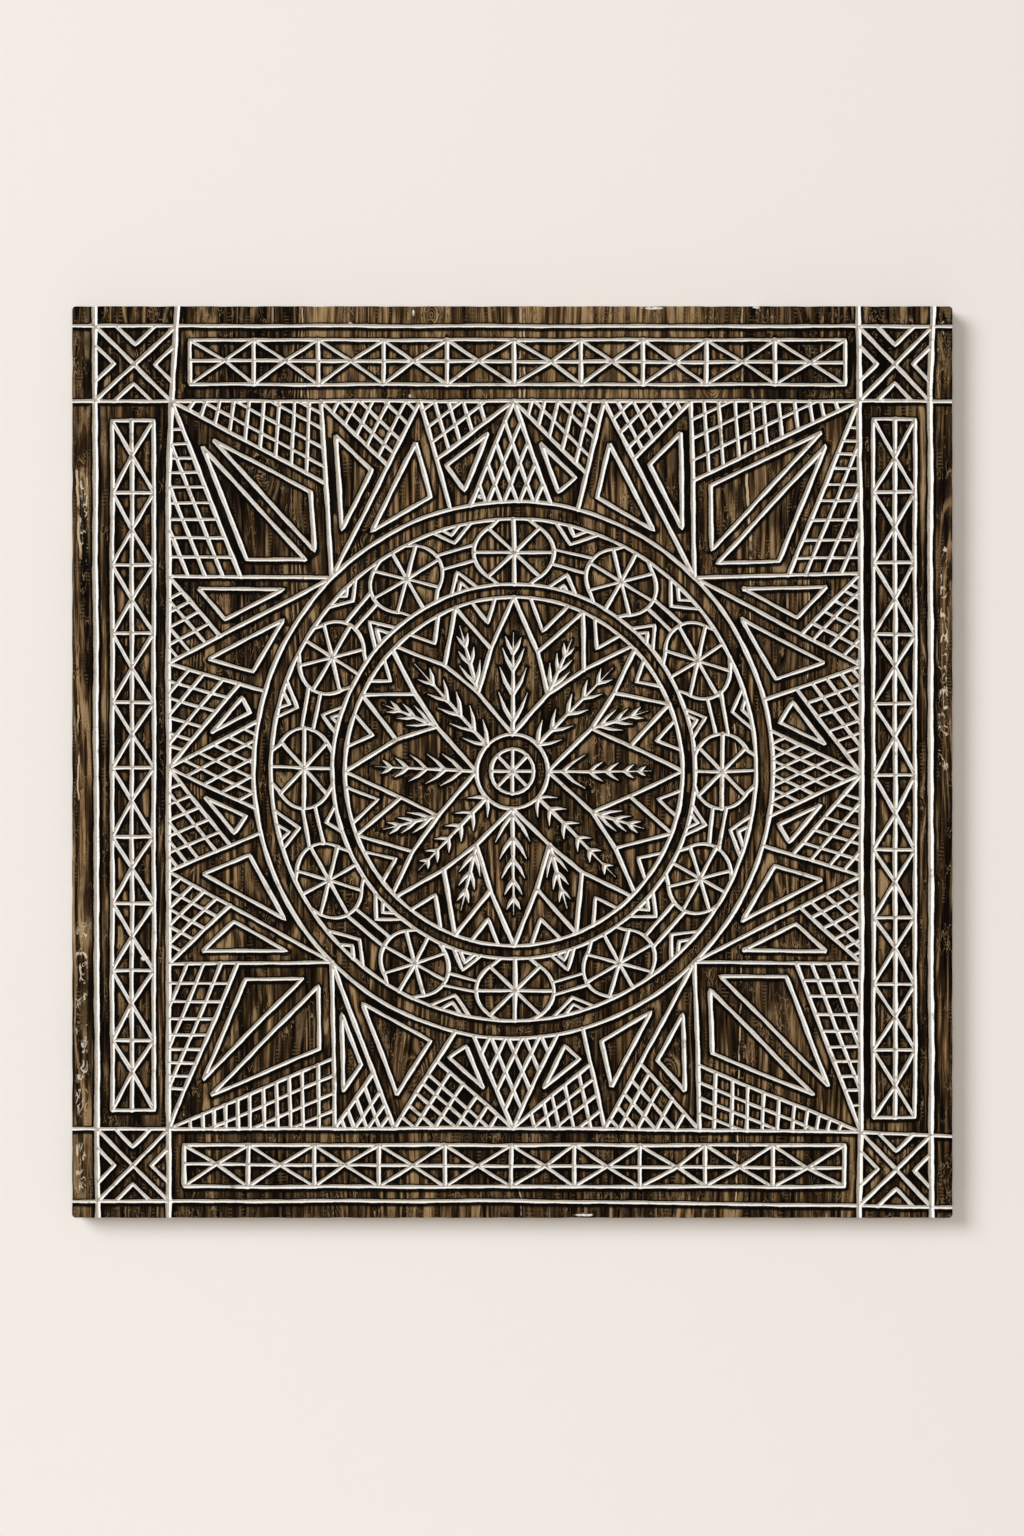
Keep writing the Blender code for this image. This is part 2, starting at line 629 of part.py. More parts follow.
def groove_depths(points, nodes, graph, pointed):
    """How deep the V grooves have cut the face at each point."""
    places = np.array([tuple(point) for point in points])
    depths = np.zeros(len(points))
    for (a, b), half in graph.items():
        if not half:
            continue
        start = np.array(nodes[a])
        along = np.array(nodes[b]) - start
        share = np.clip((places - start) @ along / (along @ along), 0, 1)
        width = half * (1 - share if b in pointed else share if a in pointed else np.ones_like(share))
        apart = np.linalg.norm(places - start - share[:, None] * along, axis=1)
        depths = np.maximum(depths, (width - apart) * DEPTH_PER_HALF)
    return np.where(depths < DEPTH_PER_HALF * GROOVE_HALF * 0.03, 0, depths)


def close_board(board, depth):
    """Gives the carved face of a board its sides and back, so that it is one closed body."""
    rim = {}
    for edge in board.edges:
        if edge.is_boundary:
            for vert in edge.verts:
                rim.setdefault(vert, []).append(edge.other_vert(vert))
    start = next(iter(rim))
    loop = [start, rim[start][0]]
    while loop[-1] != start:
        loop.append(next(vert for vert in rim[loop[-1]] if vert != loop[-2]))
    loop.pop()
    turns = []
    for k, vert in enumerate(loop):
        before = (vert.co - loop[k - 1].co).xz.normalized()
        after = (loop[(k + 1) % len(loop)].co - vert.co).xz.normalized()
        if abs(before.cross(after)) > math.sin(OUTLINE_TURN):
            turns.append(k)
    backs = [board.verts.new((loop[k].co.x, depth, loop[k].co.z)) for k in turns]
    for n, (k, back) in enumerate(zip(turns, backs)):
        end = turns[(n + 1) % len(turns)]
        chain = [loop[(k + m) % len(loop)] for m in range((end - k) % len(loop) + 1)]
        board.faces.new([*chain, backs[(n + 1) % len(backs)], back])
    board.faces.new(backs)
    bmesh.ops.recalc_face_normals(board, faces=board.faces)


def stained_wood(name, colour):
    material = bpy.data.materials.new(name)
    material.use_nodes = True
    shader = material.node_tree.nodes["Principled BSDF"]
    shader.inputs["Base Color"].default_value = (*colour, 1)
    shader.inputs["Roughness"].default_value = 0.62
    shader.inputs["Metallic"].default_value = 0.0
    return material


def make_board(index, face, collection):
    """One board, cut from the carved face at its two seams."""
    name = BOARD_NAMES[index]
    points, depths, triangles = face
    board = bmesh.new()
    verts = [board.verts.new((point.x, depth - PANEL_THICKNESS, point.y)) for point, depth in zip(points, depths)]
    for triangle in triangles:
        board.faces.new([verts[k] for k in triangle])
    low, high = seam_places()[index:index + 2]
    for last, place, side in ((0, low + SEAM_GAP / 2, -1), (len(BOARD_NAMES) - 1, high - SEAM_GAP / 2, 1)):
        if index != last:
            everything = [*board.verts, *board.edges, *board.faces]
            bmesh.ops.bisect_plane(
                board, geom=everything, dist=SEAM_SNAP,
                plane_co=(place, 0, 0), plane_no=(side, 0, 0), clear_outer=True,
            )
    bmesh.ops.dissolve_limit(board, angle_limit=FLAT_ANGLE, verts=board.verts, edges=board.edges)
    bmesh.ops.triangulate(board, faces=board.faces)
    close_board(board, 0)
    mesh = bpy.data.meshes.new(name)
    board.to_mesh(mesh)
    board.free()
    mesh.materials.append(stained_wood(name + "_wood", BOARD_COLOURS[index]))
    obj = bpy.data.objects.new(name, mesh)
    collection.objects.link(obj)


def main():
    clear_scene()
    collection = bpy.data.collections.new("Carved_wall_panel")
    bpy.context.scene.collection.children.link(collection)
    face = carve(draw_carving())
    for index in range(len(BOARD_NAMES)):
        make_board(index, face, collection)


main()
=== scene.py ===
import math

import bpy
import numpy as np
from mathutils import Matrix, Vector
from mathutils.geometry import delaunay_2d_cdt


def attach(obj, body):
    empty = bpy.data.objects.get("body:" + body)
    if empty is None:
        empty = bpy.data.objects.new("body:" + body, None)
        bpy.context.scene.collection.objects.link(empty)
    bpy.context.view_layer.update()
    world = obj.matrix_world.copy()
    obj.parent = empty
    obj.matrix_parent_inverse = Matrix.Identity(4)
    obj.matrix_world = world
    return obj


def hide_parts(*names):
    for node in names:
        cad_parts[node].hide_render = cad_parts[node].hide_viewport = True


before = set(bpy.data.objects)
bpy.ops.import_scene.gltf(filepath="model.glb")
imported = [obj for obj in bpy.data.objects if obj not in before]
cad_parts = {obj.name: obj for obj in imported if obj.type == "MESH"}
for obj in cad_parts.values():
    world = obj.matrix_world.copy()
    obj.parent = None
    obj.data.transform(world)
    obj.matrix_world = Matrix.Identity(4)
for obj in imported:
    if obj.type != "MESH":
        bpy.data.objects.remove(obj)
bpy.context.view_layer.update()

# Lengths of the carving are millimetres on the front, from its middle, x to the right and z up

panel = {
    "width": 900.0,
    "height": 932.0,
    "thickness": 25.0,
    "cornerRadius": 4.0,
    "seamGap": 0.3,
    "sideRow": 3.0,  # the first row of points down a board's sides
    "backEdge": (1.0, 0.8),  # how deep and how wide the back's edge is taken off
    "boards": {  # name: where its right edge lies
        "left_board": -213.0,
        "left_middle_board": 9.5,
        "right_middle_board": 236.0,
        "right_board": 450.0,
    },
}

seams = list(panel["boards"].values())[:-1]

grooves = {
    "half": 2.1,
    "borderHalf": 2.52,
    "railHalf": 2.03,
    "wheelHalf": 1.88,
    "latticeHalf": 1.85,
    "featherHalf": 2.0,
    "lean": (0.14, 0.04),  # what upright cuts gain in width and level ones lose, and rising and falling ones
    "slope": 0.85,
    "stationStep": 3.0,
    "widthWander": 0.11,  # how much a cut swells and thins
    "handWander": 0.42,
    "roofs": (1.5, 4.6),  # rows of points beside a groove
    "overrun": 4.0,  # of a cut past the panel's edge
    "farOff": 9.0,  # how far from a cut its depth is still measured
    "barbBow": 5.0,  # degrees that a feather's barb bows out
}

facePoints = {  # how close the points of the face lie
    "outlineStep": 4.0,
    "outlineRow": 1.3,
    "seamRow": 0.8,
    "seamCount": 240,
    "pitch": 7.0,
    "shift": 2.2,
    "clearance": 5.6,
    "closest": 0.82,  # share of its clearance that a point keeps from the cuts
    "edgeClearance": 1.8,
    "seamClearance": 1.6,
    "cell": 1.5,
}

fieldCorners = {
    "topLeft": (-348.5, 369), "topRight": (354.5, 369),
    "bottomLeft": (-351.5, -375), "bottomRight": (356, -378),
}
borderLines = {
    "outerLeft": ((-427, 466), (-424, -466)),
    "innerLeft": (
        (-342.5, 466), fieldCorners["topLeft"], (-351.5, 285), fieldCorners["bottomLeft"], (-351.5, -466)),
    "innerRight": (
        (353.5, 466), fieldCorners["topRight"], (357, 60), fieldCorners["bottomRight"], (354.5, -466)),
    "outerRight": ((430, 466), (427, 380), (428.5, -466)),
    "outerTop": ((-450, 446), (450, 445.5)),
    "innerTop": ((-450, 369), fieldCorners["topLeft"], fieldCorners["topRight"], (450, 369)),
    "innerBottom": (
        (-450, -375), fieldCorners["bottomLeft"], (0, -374), fieldCorners["bottomRight"], (450, -383)),
    "outerBottom": ((-450, -449), (0, -448.5), (450, -455)),
}

# The zigzag bands: their box, the middle line at both ends, the bars and the crossings between them
bandSizes = {
    "top": {
        "x": (-329.5, 340), "z": (386, 431.5), "middle": (410.5, 408.5),
        "bars": (-264.5, -198.5, -132, -66.5, 1.5, 70, 133, 198.5, 268.5),
        "crossings": (-293.5, -232.5, -165, -101.5, -34.5, 40, 101.5, 166.5, 235, 305),
    },
    "bottom": {
        "x": (-336, 339.5), "z": (-434, -391.5), "middle": (-411, -415),
        "bars": (-270, -202.5, -136.5, -69, -1.5, 63.5, 130, 197, 266),
        "crossings": (-302.5, -237.5, -171, -102, -35.5, 33.5, 97.5, 168.5, 232, 302),
    },
    "left": {
        "x": (-409, -366.5), "z": (-356, 349), "middle": (-389, -389),
        "bars": (-284.5, -213, -144.5, -76, -6, 61, 132, 201.5, 275.5),
        "crossings": (-316.5, -247.5, -178, -108, -39.5, 28.5, 96, 166.5, 238, 313),
    },
    "right": {
        "x": (369, 411.5), "z": (-363, 350.5), "middle": (391.5, 391),
        "bars": (-294.5, -227, -159, -89.5, -13, 59.5, 130.5, 204.5, 276),
        "crossings": (-330.5, -260.5, -190, -122, -52.5, 26, 98, 167, 240.5, 311.5),
    },
}

# The chevrons of the corner squares: their feet along a side and their tip towards the middle
cornerSquares = {"spread": 0.255, "reach": 0.49}

# The corner blocks: where their edges leave the border, the share of each edge where its ray ends, the gaps
# of the long triangles, the lines that run out beside the ray as shares of the edge, how far the small bars
# beside the field's corner lean, and where those start on the border
blockSizes = {
    "topLeft": {
        "across": -196, "down": 190, "rayAcross": 0.466, "rayDown": 0.44,
        "gapsAcross": (15, 16, 5), "gapsDown": (12.5, 18, 8),
        "fanAcross": (0.15, 0.335, 0.575, 0.8), "leanAcross": 0.045,
        "barsAcross": (-208, -223, -238.5, -254, -269, -284.5, -299, -313, -325.5),
        "barsDown": (209.5, 229, 247.5, 264.5, 281, 296, 310.5, 325, 339.5),
    },
    "topRight": {
        "across": 182.5, "down": 193, "rayAcross": 0.45, "rayDown": 0.435,
        "gapsAcross": (12.5, 18, 6.5), "gapsDown": (14.5, 14.5, 6.5),
        "fanAcross": (0.24, 0.475, 0.745), "leanAcross": 0.018,
        "barsAcross": (196, 211, 227.5, 243.5, 256, 271.5, 288, 303.5, 315.5, 330),
        "barsDown": (209, 227, 247.5, 267.5, 284, 300.5, 315, 328, 341.5),
    },
    "bottomLeft": {
        "across": -181.5, "down": -206.5, "rayAcross": 0.424, "rayDown": 0.425,
        "gapsAcross": (14.5, 14.5, 7), "gapsDown": (13.5, 16.5, 10),
        "fanAcross": (0.26, 0.5, 0.755), "leanAcross": 0,
        "barsAcross": (-329, -316, -304.5, -293, -280.5, -268.5, -254, -240.5, -227, -214, -197.5),
        "barsDown": (-226, -244.5, -262, -278.5, -293.5, -307.5, -321, -334),
    },
    "bottomRight": {
        "across": 191.5, "down": -206, "rayAcross": 0.385, "rayDown": 0.39,
        "gapsAcross": (17, 15, 8), "gapsDown": (14.5, 14, 9),
        "fanAcross": (0.26, 0.5, 0.74), "leanAcross": 0.02,
        "barsAcross": (206, 223.5, 239, 255, 270.5, 286, 299, 310.5, 321.5, 333),
        "barsDown": (-223, -239, -257.5, -274.5, -290.5, -305.5, -321, -335, -350.5),
    },
}

fanDown = (0.27, 0.51, 0.76)
leanDown = 0.005

# Half sides of the field, by border side and end. A net lists where its lines start on the border: those that
# run with the slanting edge, then those that run with the spike
halfSizes = {
    "topLeft": {
        "spike": -94.5, "inner": 14, "middle": 9.5, "outerShare": 0.364, "innerShare": 0.538, "gap": 13,
        "outerNet": ((-177, -156, -131, -109), (-177.5, -159, -142, -126, -109)),
        "innerNet": ((-79.5, -52, -27), (-79.5, -65.5, -50, -34)),
    },
    "topRight": {
        "spike": 94, "inner": 14.3, "middle": 8.3, "outerShare": 0.33, "innerShare": 0.667, "gap": 11.5,
        "outerNet": ((121.5, 142.5, 165.5), (107.5, 123.5, 139, 153.5, 167.5)),
        "innerNet": ((22, 46.5, 66), (19.5, 32.5, 46.5, 63, 80)),
    },
    "leftTop": {
        "spike": 101, "inner": 16.9, "middle": 10.5, "outerShare": 0.315, "innerShare": 0.73, "gap": 12.5,
        "outerNet": ((165.5, 138.5, 118), (167, 153, 137.5, 119.5)),
        "innerNet": ((69.5, 47.5, 18.5), (83.5, 66, 46, 29.5, 16.5)),
    },
    "leftBottom": {
        "spike": -112, "inner": 13.5, "middle": 8.3, "outerShare": 0.375, "innerShare": 0.668, "gap": 12.5,
        "outerNet": ((-130.5, -149.5, -167, -186), (-130.5, -149.5, -167, -186)),
        "innerNet": ((-30.5, -61, -79.5, -96), (-27.5, -43.5, -59.5, -76, -93.5)),
    },
    "rightTop": {
        "spike": 98.5, "inner": 15, "middle": 8.5, "outerShare": 0.36, "innerShare": 0.67, "gap": 13,
        "outerNet": ((175.5, 151, 127, 107.5), (176.5, 166.5, 151, 134.5, 116)),
        "innerNet": ((14.5, 39, 63, 83.5), (80.5, 63, 43.5, 30.5, 15)),
    },
    "rightBottom": {
        "spike": -116.5, "inner": 16.3, "middle": 10, "outerShare": 0.364, "innerShare": 0.7, "gap": 12.5,
        "outerNet": ((-190.5, -169.5, -150), (-132.5, -149.5, -166.5, -181, -193.5)),
        "innerNet": ((-39.5, -68, -90.5), (-38, -51, -68, -84.5, -101)),
    },
    "bottomLeft": {
        "spike": -121, "inner": 13, "middle": 8.8, "outerShare": 0.335, "innerShare": 0.7, "gap": 9,
        "outerNet": ((-161.5, -148, -135.5), (-135.5, -148.5, -161.5, -171)),
        "innerNet": ((-99.5, -79, -57.5, -40, -24), (-99.5, -79, -57.5, -40, -24)),
    },
    "bottomRight": {
        "spike": 94.3, "inner": 15.5, "middle": 9.8, "outerShare": 0.395, "innerShare": 0.65, "gap": 14,
        "outerNet": ((109, 127.5, 147, 167), (109, 127.5, 147, 167)),
        "innerNet": ((20.5, 43.5, 67.5), (22.5, 37.5, 48, 63, 80)),
    },
}
outerGap = 15  # of the triangle beside the block from the slanting edge beside the net
spikeGaps = (15, 21, 16)  # of the triangle in each spike from its sides
middleGaps = (11, 4, 11.5)  # of the triangle between a spike and the middle one
middleTips = {"top": 1, "bottom": 0, "left": -6, "right": -12}
middleCounts = {"top": (4, 4), "bottom": (4, 4), "left": (5, 4), "right": (5, 5)}  # net lines down both edges

rings = {  # centre and radius, a little taller than wide
    "field": ((1, -8), 265.5), "wheelsOut": ((1, -8), 248), "wheelsIn": ((1.5, -9.5), 185.5),
    "star": ((1.5, -9.5), 172.5), "hub": ((0, -9.5), 36.5), "eye": ((0, -9.5), 21.8),
}
ringStretch = 1.034
blockAngle = 44.3
starCentre = rings["star"][0]
wheels = {
    "rimTurns": (34, 146),  # where the rim's free part starts and ends
    "touchTurns": (22.5, 157.5),  # where it runs into the outer and the inner ring
    "spokeTurn": 40,
    "places": (  # clockwise from the top: the hub's angle and radius, and half the wheel's width
        (0, 216.5, 41), (30.4, 217, 37), (59.8, 217.5, 39.5), (90, 213, 37), (119.2, 217.5, 35),
        (150.4, 218, 38), (179.7, 217, 39.5), (208.1, 215, 36), (240.2, 217.5, 38.5), (270.8, 214.5, 40),
        (301.1, 217.5, 37), (330, 219.5, 38.5),
    ),
    # between the wheels: the radii of both links at their left and right ends, then the outer, the inner and
    # the small chevrons as the angles of the left foot, the tip and the right foot and the radius of the tip
    "gaps": (
        (((223.3, 225.7), (209, 209)), (10.2, 14.4, 20.4, 231.7), (11, 15.7, 20, 202),
         (13.3, 14.8, 17.7, 240.3), (14.2, 15.6, 17.1, 191.2)),
        (((222.3, 225), (211.7, 212.3)), (40.4, 44.4, 50.2, 229), (40.4, 44.8, 49.8, 204),
         (42.5, 44.8, 47.5, 239), (42.7, 44.8, 46.8, 193.7)),
        (((225.3, 221.7), (210.3, 209.5)), (71, 75.2, 80.8, 230.3), (70.6, 74.8, 79.8, 202.8),
         (73.3, 75.4, 78.2, 240.7), (72.5, 74.8, 77, 194)),
        (((220.7, 223.3), (207, 212.3)), (100.4, 104.8, 110.4, 229), (100.2, 105.2, 110, 203.3),
         (102.9, 104.6, 108.3, 237.3), (102.9, 105.2, 107.5, 195.3)),
        (((222.8, 224.5), (209, 210.7)), (130, 135, 139.3, 227.8), (130, 134.6, 140.7, 204),
         (132.3, 134.8, 137.3, 238.3), (132.9, 134.8, 137.1, 194.5)),
        (((223.7, 224.5), (211.7, 212)), (160.4, 165, 170.7, 230.7), (160.6, 164.3, 168.3, 203.7),
         (162.9, 165.2, 167.9, 237.8), (162.5, 164.6, 166.3, 193.7)),
        (((221.7, 223.3), (211, 210)), (190.4, 195.2, 200.2, 229), (190.4, 194.8, 199.3, 203.3),
         (192.5, 195.4, 197.5, 236.7), (192.5, 194.8, 197.1, 195.3)),
        (((219, 222.3), (207.8, 211.2)), (218.3, 223.5, 230.4, 229.5), (217.9, 224, 229.8, 203.3),
         (221.2, 223.8, 225.8, 238.7), (221, 224, 226.2, 193.7)),
        (((222.3, 219.5), (207.3, 206.7)), (251.7, 255.7, 260.8, 226.7), (251.1, 255.4, 259.8, 198.7),
         (253.8, 255.4, 257.5, 237)),
        (((220.7, 225.7), (209, 212)), (282.1, 286, 290.8, 230), (281.7, 286, 290.4, 203.3),
         (284.3, 286.2, 288.3, 238.3), (284.8, 286.2, 287.7, 193.7)),
        (((226.2, 229.5), (215, 216.7)), (310.4, 315.7, 319.6, 235.3), (310.4, 315, 319.8, 209),
         (313.8, 315.4, 316.8, 243.2), (312.7, 315, 317.1, 198.7)),
        (((227, 227.3), (212, 212.3)), (340.8, 345, 349.8, 233.3), (339.8, 343.6, 348.5, 205),
         (342.9, 344.8, 347.1, 241.7), (342.2, 343.8, 345.7, 194.5)),
    ),
}
star = {  # points as radius and angle, for the petals and sides from their own axis
    "petalEnd": 44.2,
    # for each side of each axis: the petal's corner near the hub and its shoulder, and the fork of the spike
    "petals": {
        (0, -1): ((86, 25.3), (126.5, 34), (123, 10.8)),
        (0, 1): ((84, 24.5), (123, 35.3), (120.5, 11.7)),
        (90, -1): ((90, 28.2), (128.5, 37), (121.5, 12)),
        (90, 1): ((90, 27), (128.5, 36), (121, 11.7)),
        (180, -1): ((81.5, 26.3), (121.5, 35), (118, 11.7)),
        (180, 1): ((82, 28), (121, 36.5), (120.5, 11.6)),
        (270, -1): ((89.5, 29.8), (130, 37.5), (118.5, 12.7)),
        (270, 1): ((90, 29.5), (126, 37.3), (124.5, 14.5)),
    },
    # for each side of each axis: the side spike's angle, both teeth as the angles of their feet and tip and
    # the tip's radius, and the side feather's tip
    "sides": {
        (0, -1): (20.3, (6.4, 10.1, 14.4, 149), (26.8, 32.6, 38.2, 150.5), (154, 21)),
        (0, 1): (24.3, (5.6, 12, 18.8, 141.5), (28.8, 34.8, 38.9, 148), (143.5, 24.3)),
        (90, -1): (22.7, (6.8, 11.7, 17, 149), (29.1, 35.1, 39.5, 153.5), (150, 23.5)),
        (90, 1): (20.8, (6.2, 10.6, 15, 150), (27.8, 33.8, 38.6, 153.5), (144.5, 22.8)),
        (180, -1): (21.7, (6, 10.7, 16.2, 148), (28, 33.6, 38, 150), (146, 22)),
        (180, 1): (20.3, (5.3, 10.2, 14.4, 148), (25.7, 33.3, 37.5, 146), (148, 21.5)),
        (270, -1): (21.5, (5, 11.2, 17.2, 141.5), (27.5, 35.6, 39, 148), (145, 23.3)),
        (270, 1): (26, (8, 13.8, 19.2, 149), (31.2, 35.4, 39.9, 154.5), (149, 26.3)),
    },
    "sideBarbs": {"feet": (0.14, 0.42, 0.7), "reach": (24, 18, 13), "spread": 27},
    # the feathers by angle: the tip, the spread, where the pairs of barbs leave the stem and their lengths
    "feathers": {
        0: ((137, 0), 26, (0.12, 0.39, 0.63, 0.8), (34, 31, 25, 18)),
        90: ((140, 90), 37, (0.145, 0.405, 0.57, 0.745, 0.885), (29, 17, 15, 11.5, 8)),
        180: ((141.5, 180), 32, (0.055, 0.275, 0.48, 0.675, 0.845), (33, 26, 23, 17, 13)),
        270: ((141.5, 272), 38, (0.145, 0.31, 0.5, 0.69, 0.855), (27, 25, 22, 16, 11)),
        45: ((144, 44.7), 33, (0, 0.19, 0.4, 0.605, 0.8), (26, 22.5, 21.5, 19.5, 15)),
        135: ((147.5, 135), 45, (0, 0.15, 0.33, 0.51, 0.665, 0.855), (20, 17, 16, 14, 12, 9)),
        225: ((137.5, 225), 45, (0, 0.21, 0.39, 0.57, 0.735, 0.87), (20, 18, 16, 14, 12, 8)),
        315: ((147, 316.5), 31, (0, 0.18, 0.37, 0.55, 0.75), (27, 26, 24, 21, 16)),
    },
}

strokes = []


def between(a, b, share):
    return (a[0] + (b[0] - a[0]) * share, a[1] + (b[1] - a[1]) * share)


def meet(a, b, c, d):  # where line ab crosses line cd
    along = (b[0] - a[0], b[1] - a[1])
    other = (d[0] - c[0], d[1] - c[1])
    cross = along[0] * other[1] - along[1] * other[0]
    return between(a, b, ((c[0] - a[0]) * other[1] - (c[1] - a[1]) * other[0]) / cross)


def onLine(line, value, axis):
    for a, b in zip(line, line[1:]):
        low, high = sorted((a[axis], b[axis]))
        if low <= value <= high:
            return between(a, b, (value - a[axis]) / (b[axis] - a[axis]))
    return line[-1]


def inset(corners, gaps):  # each side drawn in by its own gap
    count = len(corners)
    pairs = [(corners[i], corners[(i + 1) % count]) for i in range(count)]
    turn = math.copysign(1, sum(a[0] * b[1] - b[0] * a[1] for a, b in pairs))
    sides = []
    for (a, b), gap in zip(pairs, gaps):
        step = turn * gap / math.dist(a, b)
        shift = ((a[1] - b[1]) * step, (b[0] - a[0]) * step)
        sides.append(((a[0] + shift[0], a[1] + shift[1]), (b[0] + shift[0], b[1] + shift[1])))
    return [meet(*sides[i - 1], *sides[i]) for i in range(count)]


def polar(centre, radius, angle):  # degrees clockwise from the top
    turn = math.radians(angle)
    return (centre[0] + radius * math.sin(turn), centre[1] + radius * math.cos(turn) * ringStretch)


def cut(points, half=grooves["half"], closed=False, taper=False):
    points = [tuple(round(value, 3) for value in point) for point in points]
    strokes.append({"points": points + points[:1] if closed else points, "half": half, "taper": taper})


def onRing(name, angle):
    return polar(*rings[name], angle)


def cutRing(name, half=grooves["half"]):
    count = max(24, round(rings[name][1]))
    cut([onRing(name, angle) for angle in np.linspace(0, 360, count, False)], half, True)


def cutFeather(root, tip, feet, reach, spread):
    heading = math.atan2(tip[1] - root[1], tip[0] - root[0])
    for side in (-1, 1):
        turn = heading + side * math.radians(spread)
        bend = heading + side * math.radians(spread + grooves["barbBow"])
        for share, length in zip(feet, reach):
            foot = between(root, tip, share)
            belly = (foot[0] + 0.5 * length * math.cos(bend), foot[1] + 0.5 * length * math.sin(bend))
            end = (foot[0] + length * math.cos(turn), foot[1] + length * math.sin(turn))
            cut((foot, belly, end), grooves["featherHalf"], taper=True)
    cut((root, tip), grooves["featherHalf"], taper=True)


def cutNet(ends, tip, edgeStarts, spikeStarts, axis):
    # ends are where the slanting edge and the spike leave the border; the net fills the triangle to the tip
    for starts, near, far in ((edgeStarts, ends[0], ends[1]), (spikeStarts, ends[1], ends[0])):
        for value in starts:
            share = (value - near[axis]) / (far[axis] - near[axis])
            cut((between(near, far, share), between(tip, far, share)), grooves["latticeHalf"])


def toRing(start, end):  # where the line from start towards end first meets the field's ring
    (middleX, middleZ), radius = rings["field"]
    (startX, startZ), (endX, endZ) = ((x - middleX, (z - middleZ) / ringStretch) for x, z in (start, end))
    stepX, stepZ = endX - startX, endZ - startZ
    a = stepX ** 2 + stepZ ** 2
    b = startX * stepX + startZ * stepZ
    c = startX ** 2 + startZ ** 2 - radius ** 2
    return between(start, end, (-b - math.sqrt(b * b - a * c)) / a)


def cutMiddleNet(tip, left, right, counts):
    # lines leave one edge of the middle spike and run with the other, down to the ring
    for edge, other, count in ((left, right, counts[0]), (right, left, counts[1])):
        for share in np.arange(1, count + 1) / (count + 1):
            start = between(tip, edge, share)
            cut((start, toRing(start, between(other, edge, share))), grooves["latticeHalf"])


def cutWedge(corner, edge, end, fan, starts, axis, lean):
    for share in fan:
        cut((between(edge, corner, share), between(edge, end, share)), grooves["latticeHalf"])
    for value in starts:
        share = (value - edge[axis]) / (corner[axis] - edge[axis])
        cut((between(edge, corner, share), between(end, corner, share + lean)), grooves["latticeHalf"])


def drawBorders():
    for name, line in borderLines.items():
        cut(line, grooves["borderHalf" if name.endswith(("Left", "Right")) else "railHalf"])


def drawCornerSquare(left, right, top, bottom):
    corners = [meet(*top, *left), meet(*top, *right), meet(*bottom, *right), meet(*bottom, *left)]
    middle = meet(corners[0], corners[2], corners[1], corners[3])
    cut((corners[0], middle, corners[2]))
    cut((corners[1], middle, corners[3]))
    for a, b in zip(corners, corners[1:] + corners[:1]):
        tip = between(between(a, b, 0.5), middle, cornerSquares["reach"])
        cut((between(a, b, cornerSquares["spread"]), tip, between(b, a, cornerSquares["spread"])))


def drawCornerSquares():
    for side in ("Left", "Right"):
        uprights = (borderLines["outer" + side], borderLines["inner" + side])
        end = slice(0, 2) if side == "Left" else slice(-2, None)
        for level, uprightEnd in (("Top", slice(0, 2)), ("Bottom", slice(-2, None))):
            rails = (borderLines["outer" + level][end], borderLines["inner" + level][end])
            drawCornerSquare(*(upright[uprightEnd] for upright in uprights), *rails)


def drawBand(x, z, middle, bars, crossings, upright):
    def at(along, across):
        return (across, along) if upright else (along, across)

    (low, high), (near, far) = (z, x) if upright else (x, z)

    def heart(along):
        return at(along, middle[0] + (middle[1] - middle[0]) * (along - low) / (high - low))

    cut((at(low, near), at(high, near), at(high, far), at(low, far)), closed=True)
    ends = (low, *bars, high)
    for start, cross, end in zip(ends, crossings, ends[1:]):
        cut((at(start, near), heart(cross), at(end, far)), grooves["wheelHalf"])
        cut((at(end, near), heart(cross), at(start, far)), grooves["wheelHalf"])
    for bar in bars:
        cut((at(bar, near), heart(bar), at(bar, far)))
    cut((heart(low), heart(high)))


def drawBlock(corner, starts, joint, block):
    fans = ((block["fanAcross"], block["leanAcross"]), (fanDown, leanDown))
    for axis, (start, way, (fan, lean)) in enumerate(zip(starts, ("Across", "Down"), fans)):
        end = between(start, joint, block["ray" + way])
        cut((start, joint))
        cut((corner, end))
        cut(inset((corner, end, joint), block["gaps" + way]), closed=True)
        cutWedge(corner, start, end, fan, block["bars" + way], axis, lean)


def drawHalf(block, spike, middle, joint, innerEnd, middleEnd, half, axis):
    # block, spike and middle lie on the border, the other three on the ring
    outerTip = between(spike, joint, half["outerShare"])
    innerTip = between(spike, innerEnd, half["innerShare"])
    cut((spike, joint))
    cut((spike, innerEnd))
    cut((middle, middleEnd))
    cut((block, outerTip))
    cut((middle, innerTip))
    cut(inset((block, outerTip, joint), (outerGap, half["gap"], half["gap"])), closed=True)
    cut(inset((spike, joint, innerEnd), spikeGaps), closed=True)
    cut(inset((middle, innerTip, middleEnd), middleGaps), closed=True)
    cutNet((block, spike), outerTip, *half["outerNet"], axis)
    cutNet((middle, spike), innerTip, *half["innerNet"], axis)


